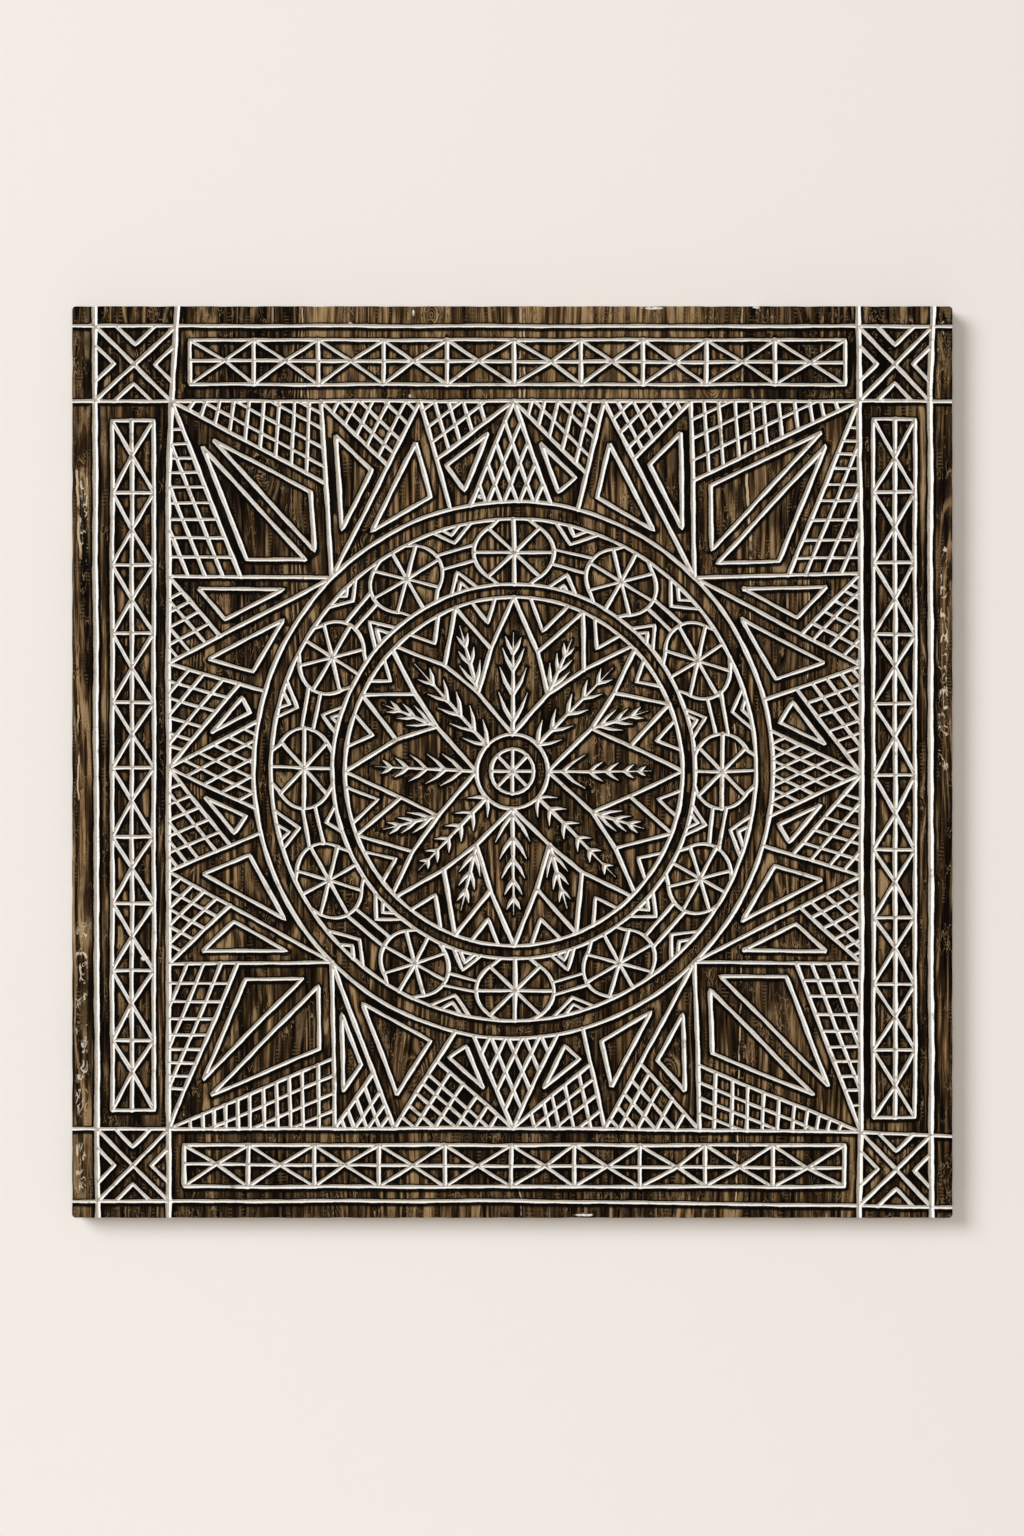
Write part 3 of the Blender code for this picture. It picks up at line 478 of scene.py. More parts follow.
def drawField():
    sideTurns = {"top": 0, "right": 90, "bottom": 180, "left": 270}
    ringEnds = {side: {} for side in sideTurns}

    def axisOf(side):
        return 0 if side in ("top", "bottom") else 1

    def onBorder(side, value):
        return onLine(borderLines["inner" + side.capitalize()], value, axisOf(side))

    for name, block in blockSizes.items():
        level = "top" if name.startswith("top") else "bottom"
        side = "left" if name.endswith("Left") else "right"
        angle = sideTurns[level] + (blockAngle if (level == "top") == (side == "right") else -blockAngle)
        joint = onRing("field", angle)
        starts = (onBorder(level, block["across"]), onBorder(side, block["down"]))
        drawBlock(fieldCorners[name], starts, joint, block)
        for edge, other, start in ((level, side, starts[0]), (side, level, starts[1])):
            half = halfSizes[edge + other.capitalize()]
            turn = 1 if (angle - sideTurns[edge] + 180) % 360 > 180 else -1
            ends = [onRing("field", sideTurns[edge] + turn * half[key]) for key in ("inner", "middle")]
            ringEnds[edge][turn] = ends[1]
            tips = (onBorder(edge, half["spike"]), onBorder(edge, middleTips[edge]))
            drawHalf(start, *tips, joint, *ends, half, axisOf(edge))
    for side, ends in ringEnds.items():
        first = -1 if side in ("top", "right") else 1
        cutMiddleNet(onBorder(side, middleTips[side]), ends[first], ends[-first], middleCounts[side])
    cutRing("field")


def drawWheel(angle, middle, halfWidth):
    halfHeight = (rings["wheelsOut"][1] - rings["wheelsIn"][1]) / 2
    hub = polar(starCentre, middle, angle)
    out = math.radians(angle)
    thin = grooves["wheelHalf"]

    def rim(turn):  # a point of the rim, degrees clockwise from its outer end
        side = halfWidth * math.sin(math.radians(turn))
        rise = halfHeight * math.cos(math.radians(turn))
        x = side * math.cos(out) + rise * math.sin(out)
        z = rise * math.cos(out) - side * math.sin(out)
        return (hub[0] + x, hub[1] + z * ringStretch)

    def rimAt(side, radius):  # where the rim lies that far from the star's centre
        turns = np.linspace(50, 130, 41)
        far = np.hypot(halfWidth * np.sin(np.radians(turns)), middle + halfHeight * np.cos(np.radians(turns)))
        return rim(side * np.interp(-radius, -far, turns))

    touches = [
        math.degrees(math.atan2(
            halfWidth * math.sin(math.radians(turn)), middle + halfHeight * math.cos(math.radians(turn))))
        for turn in wheels["touchTurns"]
    ]
    for side in (-1, 1):
        arc = [rim(side * turn) for turn in np.linspace(*wheels["rimTurns"], 15)]
        start = onRing("wheelsOut", angle + side * touches[0])
        end = onRing("wheelsIn", angle + side * touches[1])
        cut([start, *arc, end], thin)
    ends = (onRing("wheelsOut", angle), onRing("wheelsIn", angle))
    cut((ends[0], hub, ends[1]), grooves["half"] if round(angle) % 180 == 0 else thin)
    cut((rim(-90), hub, rim(90)), thin)
    for turn in (wheels["spokeTurn"], 180 - wheels["spokeTurn"]):
        cut((rim(turn), hub, rim(turn + 180)), thin)
    return rimAt


def drawWheels():
    thin = grooves["latticeHalf"]
    rims = [drawWheel(*place) for place in wheels["places"]]
    for left, right, (links, *chevrons) in zip(rims, rims[1:] + rims[:1], wheels["gaps"]):
        for leftRadius, rightRadius in links:
            cut((left(1, leftRadius), right(-1, rightRadius)), thin)
        for ring, (foot, tip, otherFoot, reach) in zip(("wheelsOut", "wheelsIn") * 2, chevrons):
            cut((onRing(ring, foot), polar(starCentre, reach, tip), onRing(ring, otherFoot)), thin)
    cutRing("wheelsOut")
    cutRing("wheelsIn")


def drawStar():
    for axis in range(0, 360, 90):
        for side in (-1, 1):

            def at(radius, angle):
                return polar(starCentre, radius, axis + side * angle)

            def onStar(angle):
                return onRing("star", axis + side * angle)

            foot, shoulder, fork = (at(*point) for point in star["petals"][(axis, side)])
            cut((onRing("hub", axis), foot, shoulder, onStar(star["petalEnd"])))
            cut((onStar(0), fork, foot))
            sideSpike, innerTooth, outerTooth, featherTip = star["sides"][(axis, side)]
            cut((fork, onStar(sideSpike), shoulder))
            for start, tip, end, reach in (innerTooth, outerTooth):
                cut((onStar(start), at(reach, tip), onStar(end)), grooves["wheelHalf"])
            cutFeather(foot, at(*featherTip), **star["sideBarbs"])
    for angle, (tip, spread, feet, reach) in star["feathers"].items():
        cutFeather(onRing("hub", angle), polar(starCentre, *tip), feet, reach, spread)
    cutRing("star")
    cutRing("hub")
    cutRing("eye", grooves["wheelHalf"])
    for angle in range(0, 180, 45):
        cut((onRing("eye", angle), onRing("eye", angle + 180)), grooves["wheelHalf"])


drawBorders()
drawCornerSquares()
for side, sizes in bandSizes.items():
    drawBand(**sizes, upright=side in ("left", "right"))
drawField()
drawWheels()
drawStar()
print("carving drawn:", len(strokes), "strokes")


def wander(places):
    # a slow, smooth drift of the hand, the same for every cut through a place, so that joints stay joined
    x, z = places[:, 0], places[:, 1]
    slow = np.stack((
        np.sin(x / 19.1 + z / 31.7 + 1.3) + 0.7 * np.sin(x / 43 - z / 23.5 + 4.1),
        np.sin(x / 27.3 - z / 17.9 + 2.2) + 0.7 * np.sin(x / 21 + z / 47.3 + 0.4),
    ), 1)
    quick = np.stack((np.sin(x / 5.3 + z / 7.1 + 0.9), np.sin(x / 6.7 - z / 4.9 + 3.3)), 1)
    return grooves["handWander"] * (0.62 * slow + 0.24 * quick)


def stationsOf(stroke, number):
    # even steps along the stroke, with its own small swelling
    line = np.array(stroke["points"], float)
    edges = (abs(line) > np.array((panel["width"], panel["height"])) / 2 - 0.01).any(1)
    for end, before in ((0, 1), (-1, -2)):
        if edges[end]:
            way = line[end] - line[before]
            line[end] += way / np.linalg.norm(way) * grooves["overrun"]
    places = [line[:1]]
    for a, b in zip(line, line[1:]):
        parts = max(1, math.ceil(np.linalg.norm(b - a) / grooves["stationStep"]))
        places.append(a + (b - a) * (np.arange(1, parts + 1) / parts)[:, None])
    places = np.concatenate(places)
    run = np.concatenate(([0], np.cumsum(np.linalg.norm(np.diff(places, axis=0), axis=1))))
    phase = number * 2.399  # the golden angle, so that no two cuts swell alike
    swells = ((8.7, 1, 1), (3.9, 1.7, 0.8), (21, 0.6, 0.6))
    swell = sum(height * np.sin(run / length + phase * turn) for length, turn, height in swells)
    halves = stroke["half"] * (1 + grooves["widthWander"] * swell / 1.6 + 0.05 * math.sin(number * 12.9))
    if stroke["taper"]:
        halves = halves * np.clip(1.08 - (run / run[-1]) ** 2.2, 0.2, 1)
    moved = places + wander(places)
    ahead = np.gradient(moved, axis=0)
    ahead /= np.linalg.norm(ahead, axis=1)[:, None]
    level, slanting = grooves["lean"]
    halves *= 1 - level * (ahead[:, 0] ** 2 - ahead[:, 1] ** 2) + slanting * 2 * ahead[:, 0] * ahead[:, 1]
    if np.allclose(places[0], places[-1]):
        halves[-1] = halves[0]
    return moved, halves, np.stack((-ahead[:, 1], ahead[:, 0]), 1)


lightSide = np.array((-0.42, 0.91))  # the side of a groove that the light comes over


def carvedAt(places, paths):
    # signed depth in mm for a slope of one, share of the way to the bottom, and which wall a place is on
    reach = grooves["farOff"]
    signed = np.full(len(places), -reach)
    share = np.zeros(len(places))
    wall = np.zeros(len(places))
    piece = 6  # stations that are measured together
    order = np.argsort(places[:, 0])
    sortedX, sortedZ = places[order].T.copy()
    for moved, halves, _ in paths:
        for first in range(0, len(moved) - 1, piece):
            part = moved[first:first + piece + 1]
            half = halves[first:first + piece + 1]
            low, high = part.min(0) - reach, part.max(0) + reach
            begin, end = np.searchsorted(sortedX, (low[0], high[0]))
            heights = sortedZ[begin:end]
            near = order[begin:end][(heights > low[1]) & (heights < high[1])]
            if not len(near):
                continue
            start, along = part[:-1], np.diff(part, axis=0)
            offset = places[near, None] - start
            rate = np.clip((offset * along).sum(2) / (along * along).sum(1), 0, 1)
            away = offset - rate[..., None] * along
            apart = np.linalg.norm(away, axis=2)
            width = half[:-1] + (half[1:] - half[:-1]) * rate
            best = (width - apart).argmax(1)
            rows = np.arange(len(near))
            here = (width - apart)[rows, best]
            better = here > signed[near]
            chosen = near[better]
            rows, best = rows[better], best[better]
            signed[chosen] = here[better]
            width, apart, away = width[rows, best], apart[rows, best], away[rows, best]
            share[chosen] = np.clip(1 - apart / width, 0, 1)
            # the wall towards the light or away from it steers the painted shade in the lime and the painted
            # shadow beside the cuts
            wall[chosen] = (away @ lightSide) / np.maximum(width, apart + 1e-6)
    return signed, share, wall


def outlineRow(inwards):
    # the panel's outline drawn in a little, never quite straight
    radius = panel["cornerRadius"]
    corners = [(sx * (panel["width"] / 2 - radius), sz * (panel["height"] / 2 - radius))
               for sx, sz in ((1, 1), (-1, 1), (-1, -1), (1, -1))]
    places, normals = [], []
    for k, (x, z) in enumerate(corners):
        for turn in np.radians(90 * k + np.linspace(0, 90, 6)):
            places.append((x + radius * math.cos(turn), z + radius * math.sin(turn)))
            normals.append((math.cos(turn), math.sin(turn)))
        after = corners[(k + 1) % 4]
        way = (math.cos(math.radians(90 * k + 90)), math.sin(math.radians(90 * k + 90)))
        start = np.array((x, z)) + radius * np.array(way)
        end = np.array(after) + radius * np.array(way)
        parts = round(np.linalg.norm(end - start) / facePoints["outlineStep"])
        for part in range(1, parts):
            places.append(tuple(start + (end - start) * part / parts))
            normals.append(way)
    places, normals = np.array(places), np.array(normals)
    x, z = places[:, 0], places[:, 1]
    worn = 0.17 * (2 + np.sin(x / 13.1 + z / 9.7) + np.sin(x / 5.3 - z / 6.1 + 2))
    return places - normals * (inwards + np.clip(worn - 0.22, 0, 1))[:, None]


def insideOutline(places, outline):
    # only places within a few millimetres of the edge have to be looked at
    inside = np.ones(len(places), bool)
    picked = np.nonzero((abs(places) > np.array((panel["width"], panel["height"])) / 2 - 6).any(1))[0]
    x, z = places[picked, 0][:, None], places[picked, 1][:, None]
    (x0, z0), (x1, z1) = outline.T, np.roll(outline, -1, 0).T
    with np.errstate(divide="ignore", invalid="ignore"):
        crossing = ((z0 > z) != (z1 > z)) & (x < (x1 - x0) * (z - z0) / (z1 - z0) + x0)
    inside[picked] = crossing.sum(1) % 2 == 1
    return inside


def loosePoints(paths):
    # rows beside every groove and a shifted grid on the wood, none in a groove and one in a small cell
    wide, high = panel["width"] / 2, panel["height"] / 2
    loose, clearance = [], []
    for moved, halves, across in paths:
        for roof in grooves["roofs"]:
            for sign in (-1, 1):
                loose.append(moved + sign * across * (halves + roof)[:, None])
                clearance.append(np.full(len(moved), roof))
    steps = (np.arange(1 - size, size, facePoints["pitch"]) for size in (wide, high))
    grid = np.stack(np.meshgrid(*steps), 2).reshape(-1, 2)
    loose.append(grid + facePoints["shift"] * np.sin(grid[:, ::-1] * 1.7 + grid * 0.9))
    clearance.append(np.full(len(grid), facePoints["clearance"]))
    loose, clearance = np.concatenate(loose), np.concatenate(clearance)
    clear = carvedAt(loose, paths)[0] < -facePoints["closest"] * clearance
    clear &= (abs(loose) < np.array((wide, high)) - facePoints["edgeClearance"]).all(1)
    for seam in seams:
        clear &= abs(loose[:, 0] - seam) > facePoints["seamClearance"]
    loose = loose[clear]
    _, kept = np.unique(np.floor(loose / facePoints["cell"]), axis=0, return_index=True)
    return loose[np.sort(kept)]


def carvedFace():
    # every groove as three rows of points joined lengthwise, and loose points on the wood
    paths = [stationsOf(stroke, number) for number, stroke in enumerate(strokes)]
    points, edges = [], []
    count = 0

    def addRow(row, closed=False):
        nonlocal count
        points.append(row)
        edges.extend((count + k, count + k + 1) for k in range(len(row) - 1))
        if closed:
            edges.append((count + len(row) - 1, count))
        count += len(row)

    outline = outlineRow(0)
    addRow(outline, True)
    addRow(outlineRow(facePoints["outlineRow"]), True)
    gap, row, rowCount = panel["seamGap"] / 2, facePoints["seamRow"], facePoints["seamCount"]
    heights = np.linspace(-panel["height"] / 2 - 3, panel["height"] / 2 + 3, rowCount)
    for seam in seams:
        for shift in (-gap - row, -gap, gap, gap + row):
            addRow(np.stack((np.full(rowCount, seam + shift), heights), 1))
    for moved, halves, across in paths:
        addRow(moved)
        addRow(moved + across * halves[:, None])
        addRow(moved - across * halves[:, None])
    points.append(loosePoints(paths))
    allPoints = np.concatenate(points).round(4)
    made, _, triangles, _, _, _ = delaunay_2d_cdt([Vector(p) for p in allPoints], edges, [], 0, 1e-5)
    places = np.array([tuple(p) for p in made])
    triangles = np.array(triangles)
    centres = places[triangles].mean(1)
    triangles = triangles[insideOutline(centres, outline)]
    return places, triangles, paths


def grooveData(places, paths):
    signed, share, wall = carvedAt(places, paths)
    edge = np.minimum(panel["width"] / 2 - abs(places[:, 0]), panel["height"] / 2 - abs(places[:, 1]))
    for seam in seams:
        edge = np.minimum(edge, abs(places[:, 0] - seam) - panel["seamGap"] / 2)
    return {"cut": signed, "share": share, "wall": wall, "edge": np.clip(edge, 0, grooves["farOff"])}


def boardMesh(name, low, high, places, triangles, data):
    # the board's part of the face, closed with sides and a back
    centre = places[triangles].mean(1)[:, 0]
    chosen = triangles[(centre > low) & (centre < high)]
    used, flat = np.unique(chosen, return_inverse=True)
    chosen = flat.reshape(-1, 3)
    spots = places[used]
    ends = np.concatenate([chosen[:, [0, 1]], chosen[:, [1, 2]], chosen[:, [2, 0]]])
    ways = {(a, b) for a, b in ends.tolist()}
    following = {a: b for a, b in ways if (b, a) not in ways}
    start = next(iter(following))
    loop = [start]
    while following[loop[-1]] != start:
        loop.append(following[loop[-1]])
    rim = spots[loop]
    middle = np.array(((low + high) / 2, 0))
    deep, wide = panel["backEdge"]
    back = rim - np.sign(rim - middle) * np.minimum(wide, abs(rim - middle))
    rows = [(rim, panel["sideRow"] - panel["thickness"]), (rim, -deep), (back, 0.0)]
    verts = [np.column_stack((spots[:, 0], np.full(len(spots), -panel["thickness"]), spots[:, 1]))]
    for row, depth in rows:
        verts.append(np.column_stack((row[:, 0], np.full(len(row), depth), row[:, 1])))
    faces = chosen.tolist()
    before = list(loop)
    first = len(spots)
    for _ in rows:
        after = list(range(first, first + len(loop)))
        for k in range(len(loop)):
            n = (k + 1) % len(loop)
            faces.append((before[n], before[k], after[k], after[n]))
        before = after
        first += len(loop)
    faces.append(tuple(before))
    mesh = bpy.data.meshes.new(name)
    mesh.from_pydata((np.concatenate(verts) / 1000).tolist(), [], faces)
    onFront = {key: values[used] for key, values in data.items()} | {"front": 1}
    for key, values in onFront.items():
        whole = np.full(len(mesh.vertices), -grooves["farOff"] if key == "cut" else 0, np.float32)
        whole[:len(spots)] = values
        mesh.attributes.new(key, "FLOAT", "POINT").data.foreach_set("value", whole)
    mesh.validate()
    return mesh


class Number:
    # a socket's value in a sum
    def __init__(self, maker, socket):
        self.maker = maker
        self.socket = socket

    def __add__(self, other):
        return self.maker.maths("ADD", self, other)

    def __radd__(self, other):
        return self.maker.maths("ADD", other, self)

    def __sub__(self, other):
        return self.maker.maths("SUBTRACT", self, other)

    def __rsub__(self, other):
        return self.maker.maths("SUBTRACT", other, self)

    def __mul__(self, other):
        return self.maker.maths("MULTIPLY", self, other)

    def __rmul__(self, other):
        return self.maker.maths("MULTIPLY", other, self)

    def __truediv__(self, other):
        return self.maker.maths("DIVIDE", self, other)


class NodeMaker:
    def __init__(self, tree):
        self.tree = tree

    def make(self, kind, settings=None, values=None):
        node = self.tree.nodes.new(kind)
        for key, value in (settings or {}).items():
            if key == "stops":
                while len(node.color_ramp.elements) < len(value):
                    node.color_ramp.elements.new(0.5)
                for element, (place, colour) in zip(node.color_ramp.elements, value):
                    element.position = place
                    element.color = (*colour, 1)
            else:
                setattr(node, key, value)
        for key, value in (values or {}).items():
            if isinstance(value, Number):
                value = value.socket
            if isinstance(value, bpy.types.NodeSocket):
                self.tree.links.new(value, node.inputs[key])
            else:
                node.inputs[key].default_value = value
        return node

    def number(self, node, output=0):
        return Number(self, node.outputs[output])

    def maths(self, operation, *values):
        return self.number(self.make("ShaderNodeMath", {"operation": operation}, dict(enumerate(values))))

    def spread(self, value, low, high, toLow=0.0, toHigh=1.0, smooth=True):
        kind = "SMOOTHSTEP" if smooth else "LINEAR"
        node = self.make("ShaderNodeMapRange", {"interpolation_type": kind, "clamp": True}, {
            "Value": value, "From Min": low, "From Max": high, "To Min": toLow, "To Max": toHigh})
        return self.number(node, "Result")


def srgb(red, green, blue):
    def linear(value):
        value /= 255
        return value / 12.92 if value <= 0.04045 else ((value + 0.055) / 1.055) ** 2.4

    return (linear(red), linear(green), linear(blue))


carvingTool = {  # inputs of the tree that cuts the front, in millimetres
    "Groove slope": grooves["slope"],
    "Tool chatter": 0.10,
    "Planed waves": 0.16,
    "Worn edge": 0.55,
    "Seed": 3.7,
}


def carvingTree():
    # sinks the front by its grooves, by the plane's waves and by wear along the board's edges
    tree = bpy.data.node_groups.new("carved front", "GeometryNodeTree")
    tree.interface.new_socket("Geometry", in_out="INPUT", socket_type="NodeSocketGeometry")
    for key in carvingTool:
        tree.interface.new_socket(key, in_out="INPUT", socket_type="NodeSocketFloat")
    tree.interface.new_socket("Wood", in_out="INPUT", socket_type="NodeSocketMaterial")
    tree.interface.new_socket("Geometry", in_out="OUTPUT", socket_type="NodeSocketGeometry")
    maker = NodeMaker(tree)
    given = maker.make("NodeGroupInput")
    inputs = {key: Number(maker, given.outputs[key]) for key in carvingTool}

    def named(name):
        node = maker.make("GeometryNodeInputNamedAttribute", {"data_type": "FLOAT"}, {"Name": name})
        return maker.number(node, "Attribute")

    def noise(vector, scale, detail):
        node = maker.make("ShaderNodeTexNoise", {"noise_dimensions": "4D"}, {
            "Vector": vector, "W": inputs["Seed"], "Scale": scale, "Detail": detail})
        return maker.number(node, 0)

    place = maker.make("GeometryNodeInputPosition").outputs[0]
    stretch = {0: place, 1: (1.0, 1.0, 0.22)}
    tall = maker.make("ShaderNodeVectorMath", {"operation": "MULTIPLY"}, stretch).outputs[0]
    depth = maker.maths("MAXIMUM", named("cut"), 0.0)
    ragged = 1 + inputs["Tool chatter"] * (noise(place, 190.0, 2.0) - 0.5) * 2
    grooveDepth = depth * inputs["Groove slope"] * ragged
    waves = inputs["Planed waves"] * (noise(tall, 46.0, 2.0) * 0.7 + noise(tall, 150.0, 1.0) * 0.3)
    nearEdge = maker.spread(named("edge"), 0.0, 1.3, 1.0, 0.0)
    worn = inputs["Worn edge"] * nearEdge * (0.55 + noise(place, 60.0, 3.0))
    sunk = maker.maths("MAXIMUM", grooveDepth + waves * 0.5, waves + worn) * named("front") * 0.001
    offset = maker.make("ShaderNodeCombineXYZ", None, {"Y": sunk}).outputs[0]
    moved = maker.make("GeometryNodeSetPosition", None, {
        "Geometry": given.outputs["Geometry"], "Offset": offset})
    real = maker.make("GeometryNodeRealizeInstances", None, {"Geometry": moved.outputs[0]})
    done = maker.make("GeometryNodeSetMaterial", None, {
        "Geometry": real.outputs[0], "Material": given.outputs["Wood"]})
    maker.make("NodeGroupOutput", None, {"Geometry": done.outputs[0]})
    return tree


stainedWood = {  # the wood from its black stain to its palest lines, and the lime in the cuts
    # the wood's black stain, also the colour of the painted shadow beside the cuts
    "stainAndShadow": srgb(8, 5, 3),
    "dark": srgb(36, 25, 14),
    "brown": srgb(70, 50, 29),
    "light": srgb(114, 87, 55),
    "darkLine": srgb(13, 8, 4),
    "paleLine": srgb(166, 136, 98),
    "split": srgb(204, 176, 138),
    "curl": srgb(212, 198, 172),
    "limeWhite": srgb(250, 248, 243),
    # the lime's painted shade on the wall away from the light, and a painted dark crease along its bottom
    "limePaintedShade": srgb(198, 187, 171),
    "limeBottomShade": srgb(122, 103, 82),
    "limeWorn": srgb(158, 138, 112),
    "roughness": (0.55, 0.8),
    "hairLine": srgb(172, 146, 112),
    "chatter": srgb(122, 100, 70),
    "limeRoughness": 0.88,
    "ringCount": 15.0,  # growth lines over the grain's slow field
}

# Each board's own look: knots as x, z and size, spots of lime and scuffed edges as x, z, half width and half
# height, and cracks as x and z of their top, x and z of their foot and half width
boardLooks = {
    "left_board": {
        "seed": 1.3, "tone": -0.016, "paleTop": -0.025,
        "knots": ((-258, 292, 14), (-330, -60, 9)),
        "marks": ((-375.5, -200.5, 5, 2.4),),
        "cracks": ((-215, 466, -215.5, 372, 0.9), (-445, 300, -441.5, 205, 1.5), (-444, 60, -443, -40, 1.0)),
        "curls": ((-440, -262, 7, 105), (-438, 250, 5, 50), (-441, -418, 6, 30)),
    },
    "left_middle_board": {
        "seed": 5.1, "tone": -0.006, "paleTop": 0.05,
        "knots": ((-83, 457, 9), (-150, 250, 10), (-100, -320, 14)),
        "marks": ((-165, 447.5, 2.6, 2.6), (-33, 271, 3, 2.6), (-101, 459, 1.2, 4), (-104, 374, 2, 2)),
        "cracks": ((-209, 386, -208.5, 318, 0.8), (8.5, 466, 7.5, 330, 1.4), (7.5, -427, 8.5, -464, 1.0)),
        "curls": (),
    },
    "right_middle_board": {
        "seed": 9.7, "tone": -0.006, "paleTop": 0.075,
        "knots": ((160, -318, 12), (205, 385, 12)),
        "marks": ((143.5, 464, 12, 1.6), (73.5, -463, 10, 1.4)),
        "cracks": ((12, 466, 12.5, 350, 1.1), (235, 466, 235, 380, 1.3), (234, -196, 229, -460, 0.9),
                   (227, 40, 232, -52, 0.8)),
        "curls": (),
    },
    "right_board": {
        "seed": 14.2, "tone": -0.006, "paleTop": -0.03,
        "knots": ((333, 18, 8), (300, 262, 9)),
        "marks": ((249, 465, 4.5, 1.8),),
        "cracks": ((237.5, 330, 244.5, 205, 1.6), (305, 228, 302, 84, 0.8), (244.5, 205, 242, 120, 0.8)),
        "curls": ((440.5, 79, 6, 98), (441, 180, 4, 60), (437, 440, 5, 22)),
    },
}


class WoodMaker(NodeMaker):
    # the nodes of one board's material, with the fields that several of its layers share
    def __init__(self, tree, look):
        super().__init__(tree)
        self.look = look
        self.object3d = self.make("ShaderNodeTexCoord").outputs["Object"]
        split = self.make("ShaderNodeSeparateXYZ", None, {0: self.object3d})
        self.x, self.y, self.z = (self.number(split, k) for k in range(3))
        self.bend = self.noise(self.vector(self.x, self.y, self.z * 0.3), 9.0)
        self.partGrain()
        self.fibre = self.stretched(self.grain, 430, 9, 4.0, 0.62)
        self.bands = self.stretched(self.grain, 58, 5, 3.0, 0.6)
        self.blotch = self.stretched(self.x, 24, 15, 4.0, 0.6)
        self.speck = self.noise(self.object3d, 620.0, 3.0, 0.65)
        self.ragged = self.noise(self.object3d, 240.0, 3.0, 0.6)

    def vector(self, a, b, c):
        return self.make("ShaderNodeCombineXYZ", None, {0: a, 1: b, 2: c}).outputs[0]

    def noise(self, vector, scale, detail=2.0, rough=0.5, distortion=0.0):
        return self.number(self.make("ShaderNodeTexNoise", {"noise_dimensions": "4D"}, {
            "Vector": vector, "W": self.look["seed"], "Scale": scale, "Detail": detail, "Roughness": rough,
            "Distortion": distortion}))

    def stretched(self, across, wide, tall, detail, rough=0.5, distortion=0.0):
        # noise with one scale across the board, from the grain or from x, and another up it
        place = self.vector(across * wide, self.y * wide, self.z * tall)
        return self.noise(place, 1.0, detail, rough, distortion)

    def attribute(self, key):
        return self.number(self.make("ShaderNodeAttribute", {"attribute_name": key}), "Fac")

    def blend(self, factor, one, other):
        values = {0: factor, 6: one, 7: other}
        for key in (6, 7):
            if isinstance(values[key], tuple):
                values[key] = (*values[key], 1)
        return self.make("ShaderNodeMix", {"data_type": "RGBA"}, values).outputs[2]

    def atMost(self, value, limit):
        return self.maths("MINIMUM", value, limit)

    def size(self, value):
        return self.maths("ABSOLUTE", value)

    def band(self, value, inner, outer):
        # one where the value is below the inner limit, nought above the outer one
        return 1 - self.spread(value, inner, outer)

    def partGrain(self):
        # the grain runs up the board and parts round its knots
        self.grain = self.x + (self.bend - 0.5) * 0.016
        self.core = None
        for knotX, knotZ, size in self.look["knots"]:
            sideways, upwards = self.x - knotX / 1000, self.z - knotZ / 1000
            far = (sideways * sideways + upwards * upwards * 0.36) * (1e6 / size ** 2)
            near = self.maths("EXPONENT", far * -0.55)
            self.grain = self.grain - sideways * near * 0.8
            inner = self.maths("EXPONENT", far * -2.2)
            self.core = inner if self.core is None else self.maths("MAXIMUM", self.core, inner)


def grownWood(maker):
    # the stained grain and its growth lines, with the tone and the lines' field for the layers above
    streak = maker.stretched(maker.grain, 300, 10, 3.5, 0.66)
    tone = streak * 0.58 + maker.bands * 0.2 + maker.blotch * 0.22 + maker.look["tone"]
    tone = tone + maker.spread(maker.z, 0.364, 0.372) * maker.look["paleTop"]
    wood = maker.make("ShaderNodeValToRGB", {"stops": (
        (0.412, stainedWood["stainAndShadow"]), (0.455, stainedWood["dark"]), (0.505, stainedWood["brown"]),
        (0.55, stainedWood["light"]), (0.605, stainedWood["paleLine"]))}, {0: tone}).outputs[0]
    field = maker.stretched(maker.grain, 26, 2.6, 1.6, 0.45) + maker.core * 0.28
    rings = maker.maths(
        "SINE", (field + (maker.fibre - 0.5) * 0.04) * (2 * math.pi * stainedWood["ringCount"]))
    busy = maker.spread(maker.blotch, 0.4, 0.6)
    pale = maker.spread(rings, 0.62, 0.98) * (0.2 + busy * 0.8) * maker.spread(maker.bands, 0.4, 0.56)
    dark = maker.spread(rings, 0.0, -0.8) * (0.5 + busy * 0.5)
    wood = maker.blend(maker.atMost(dark * 0.85, 0.9), wood, stainedWood["darkLine"])
    wood = maker.blend(maker.atMost(pale, 0.9), wood, stainedWood["paleLine"])
    return maker.blend((0.5 - maker.fibre) * 1.8, wood, stainedWood["stainAndShadow"]), tone, rings


def hairLines(maker, wood):
    # pale hair lines up the grain, and ladders of tool chatter across it
    place = maker.vector(maker.grain * 110, maker.y * 110, maker.z * 8 + maker.look["seed"])
    cells = maker.make("ShaderNodeTexVoronoi", {"voronoi_dimensions": "3D"}, {"Vector": place, "Scale": 1.0})
    rare = maker.number(maker.make("ShaderNodeSeparateColor", None, {0: cells.outputs["Color"]}))
    lines = maker.band(maker.number(cells), 0.05, 0.17) * maker.spread(rare, 0.5, 0.7)
    chatter = maker.noise(maker.vector(maker.grain * 3.2, maker.y, maker.z * 0.7), 46.0, 2.0)
    sway = (maker.z + (maker.noise(maker.object3d, 70.0, 1.0) - 0.5) * 0.004) * 1700
    ladder = maker.spread(maker.maths("SINE", sway), -0.1, 0.9) * maker.spread(chatter, 0.56, 0.66)
    wood = maker.blend(lines * 0.85, wood, stainedWood["hairLine"])
    return maker.blend(ladder * 0.45, wood, stainedWood["chatter"]), lines, ladder


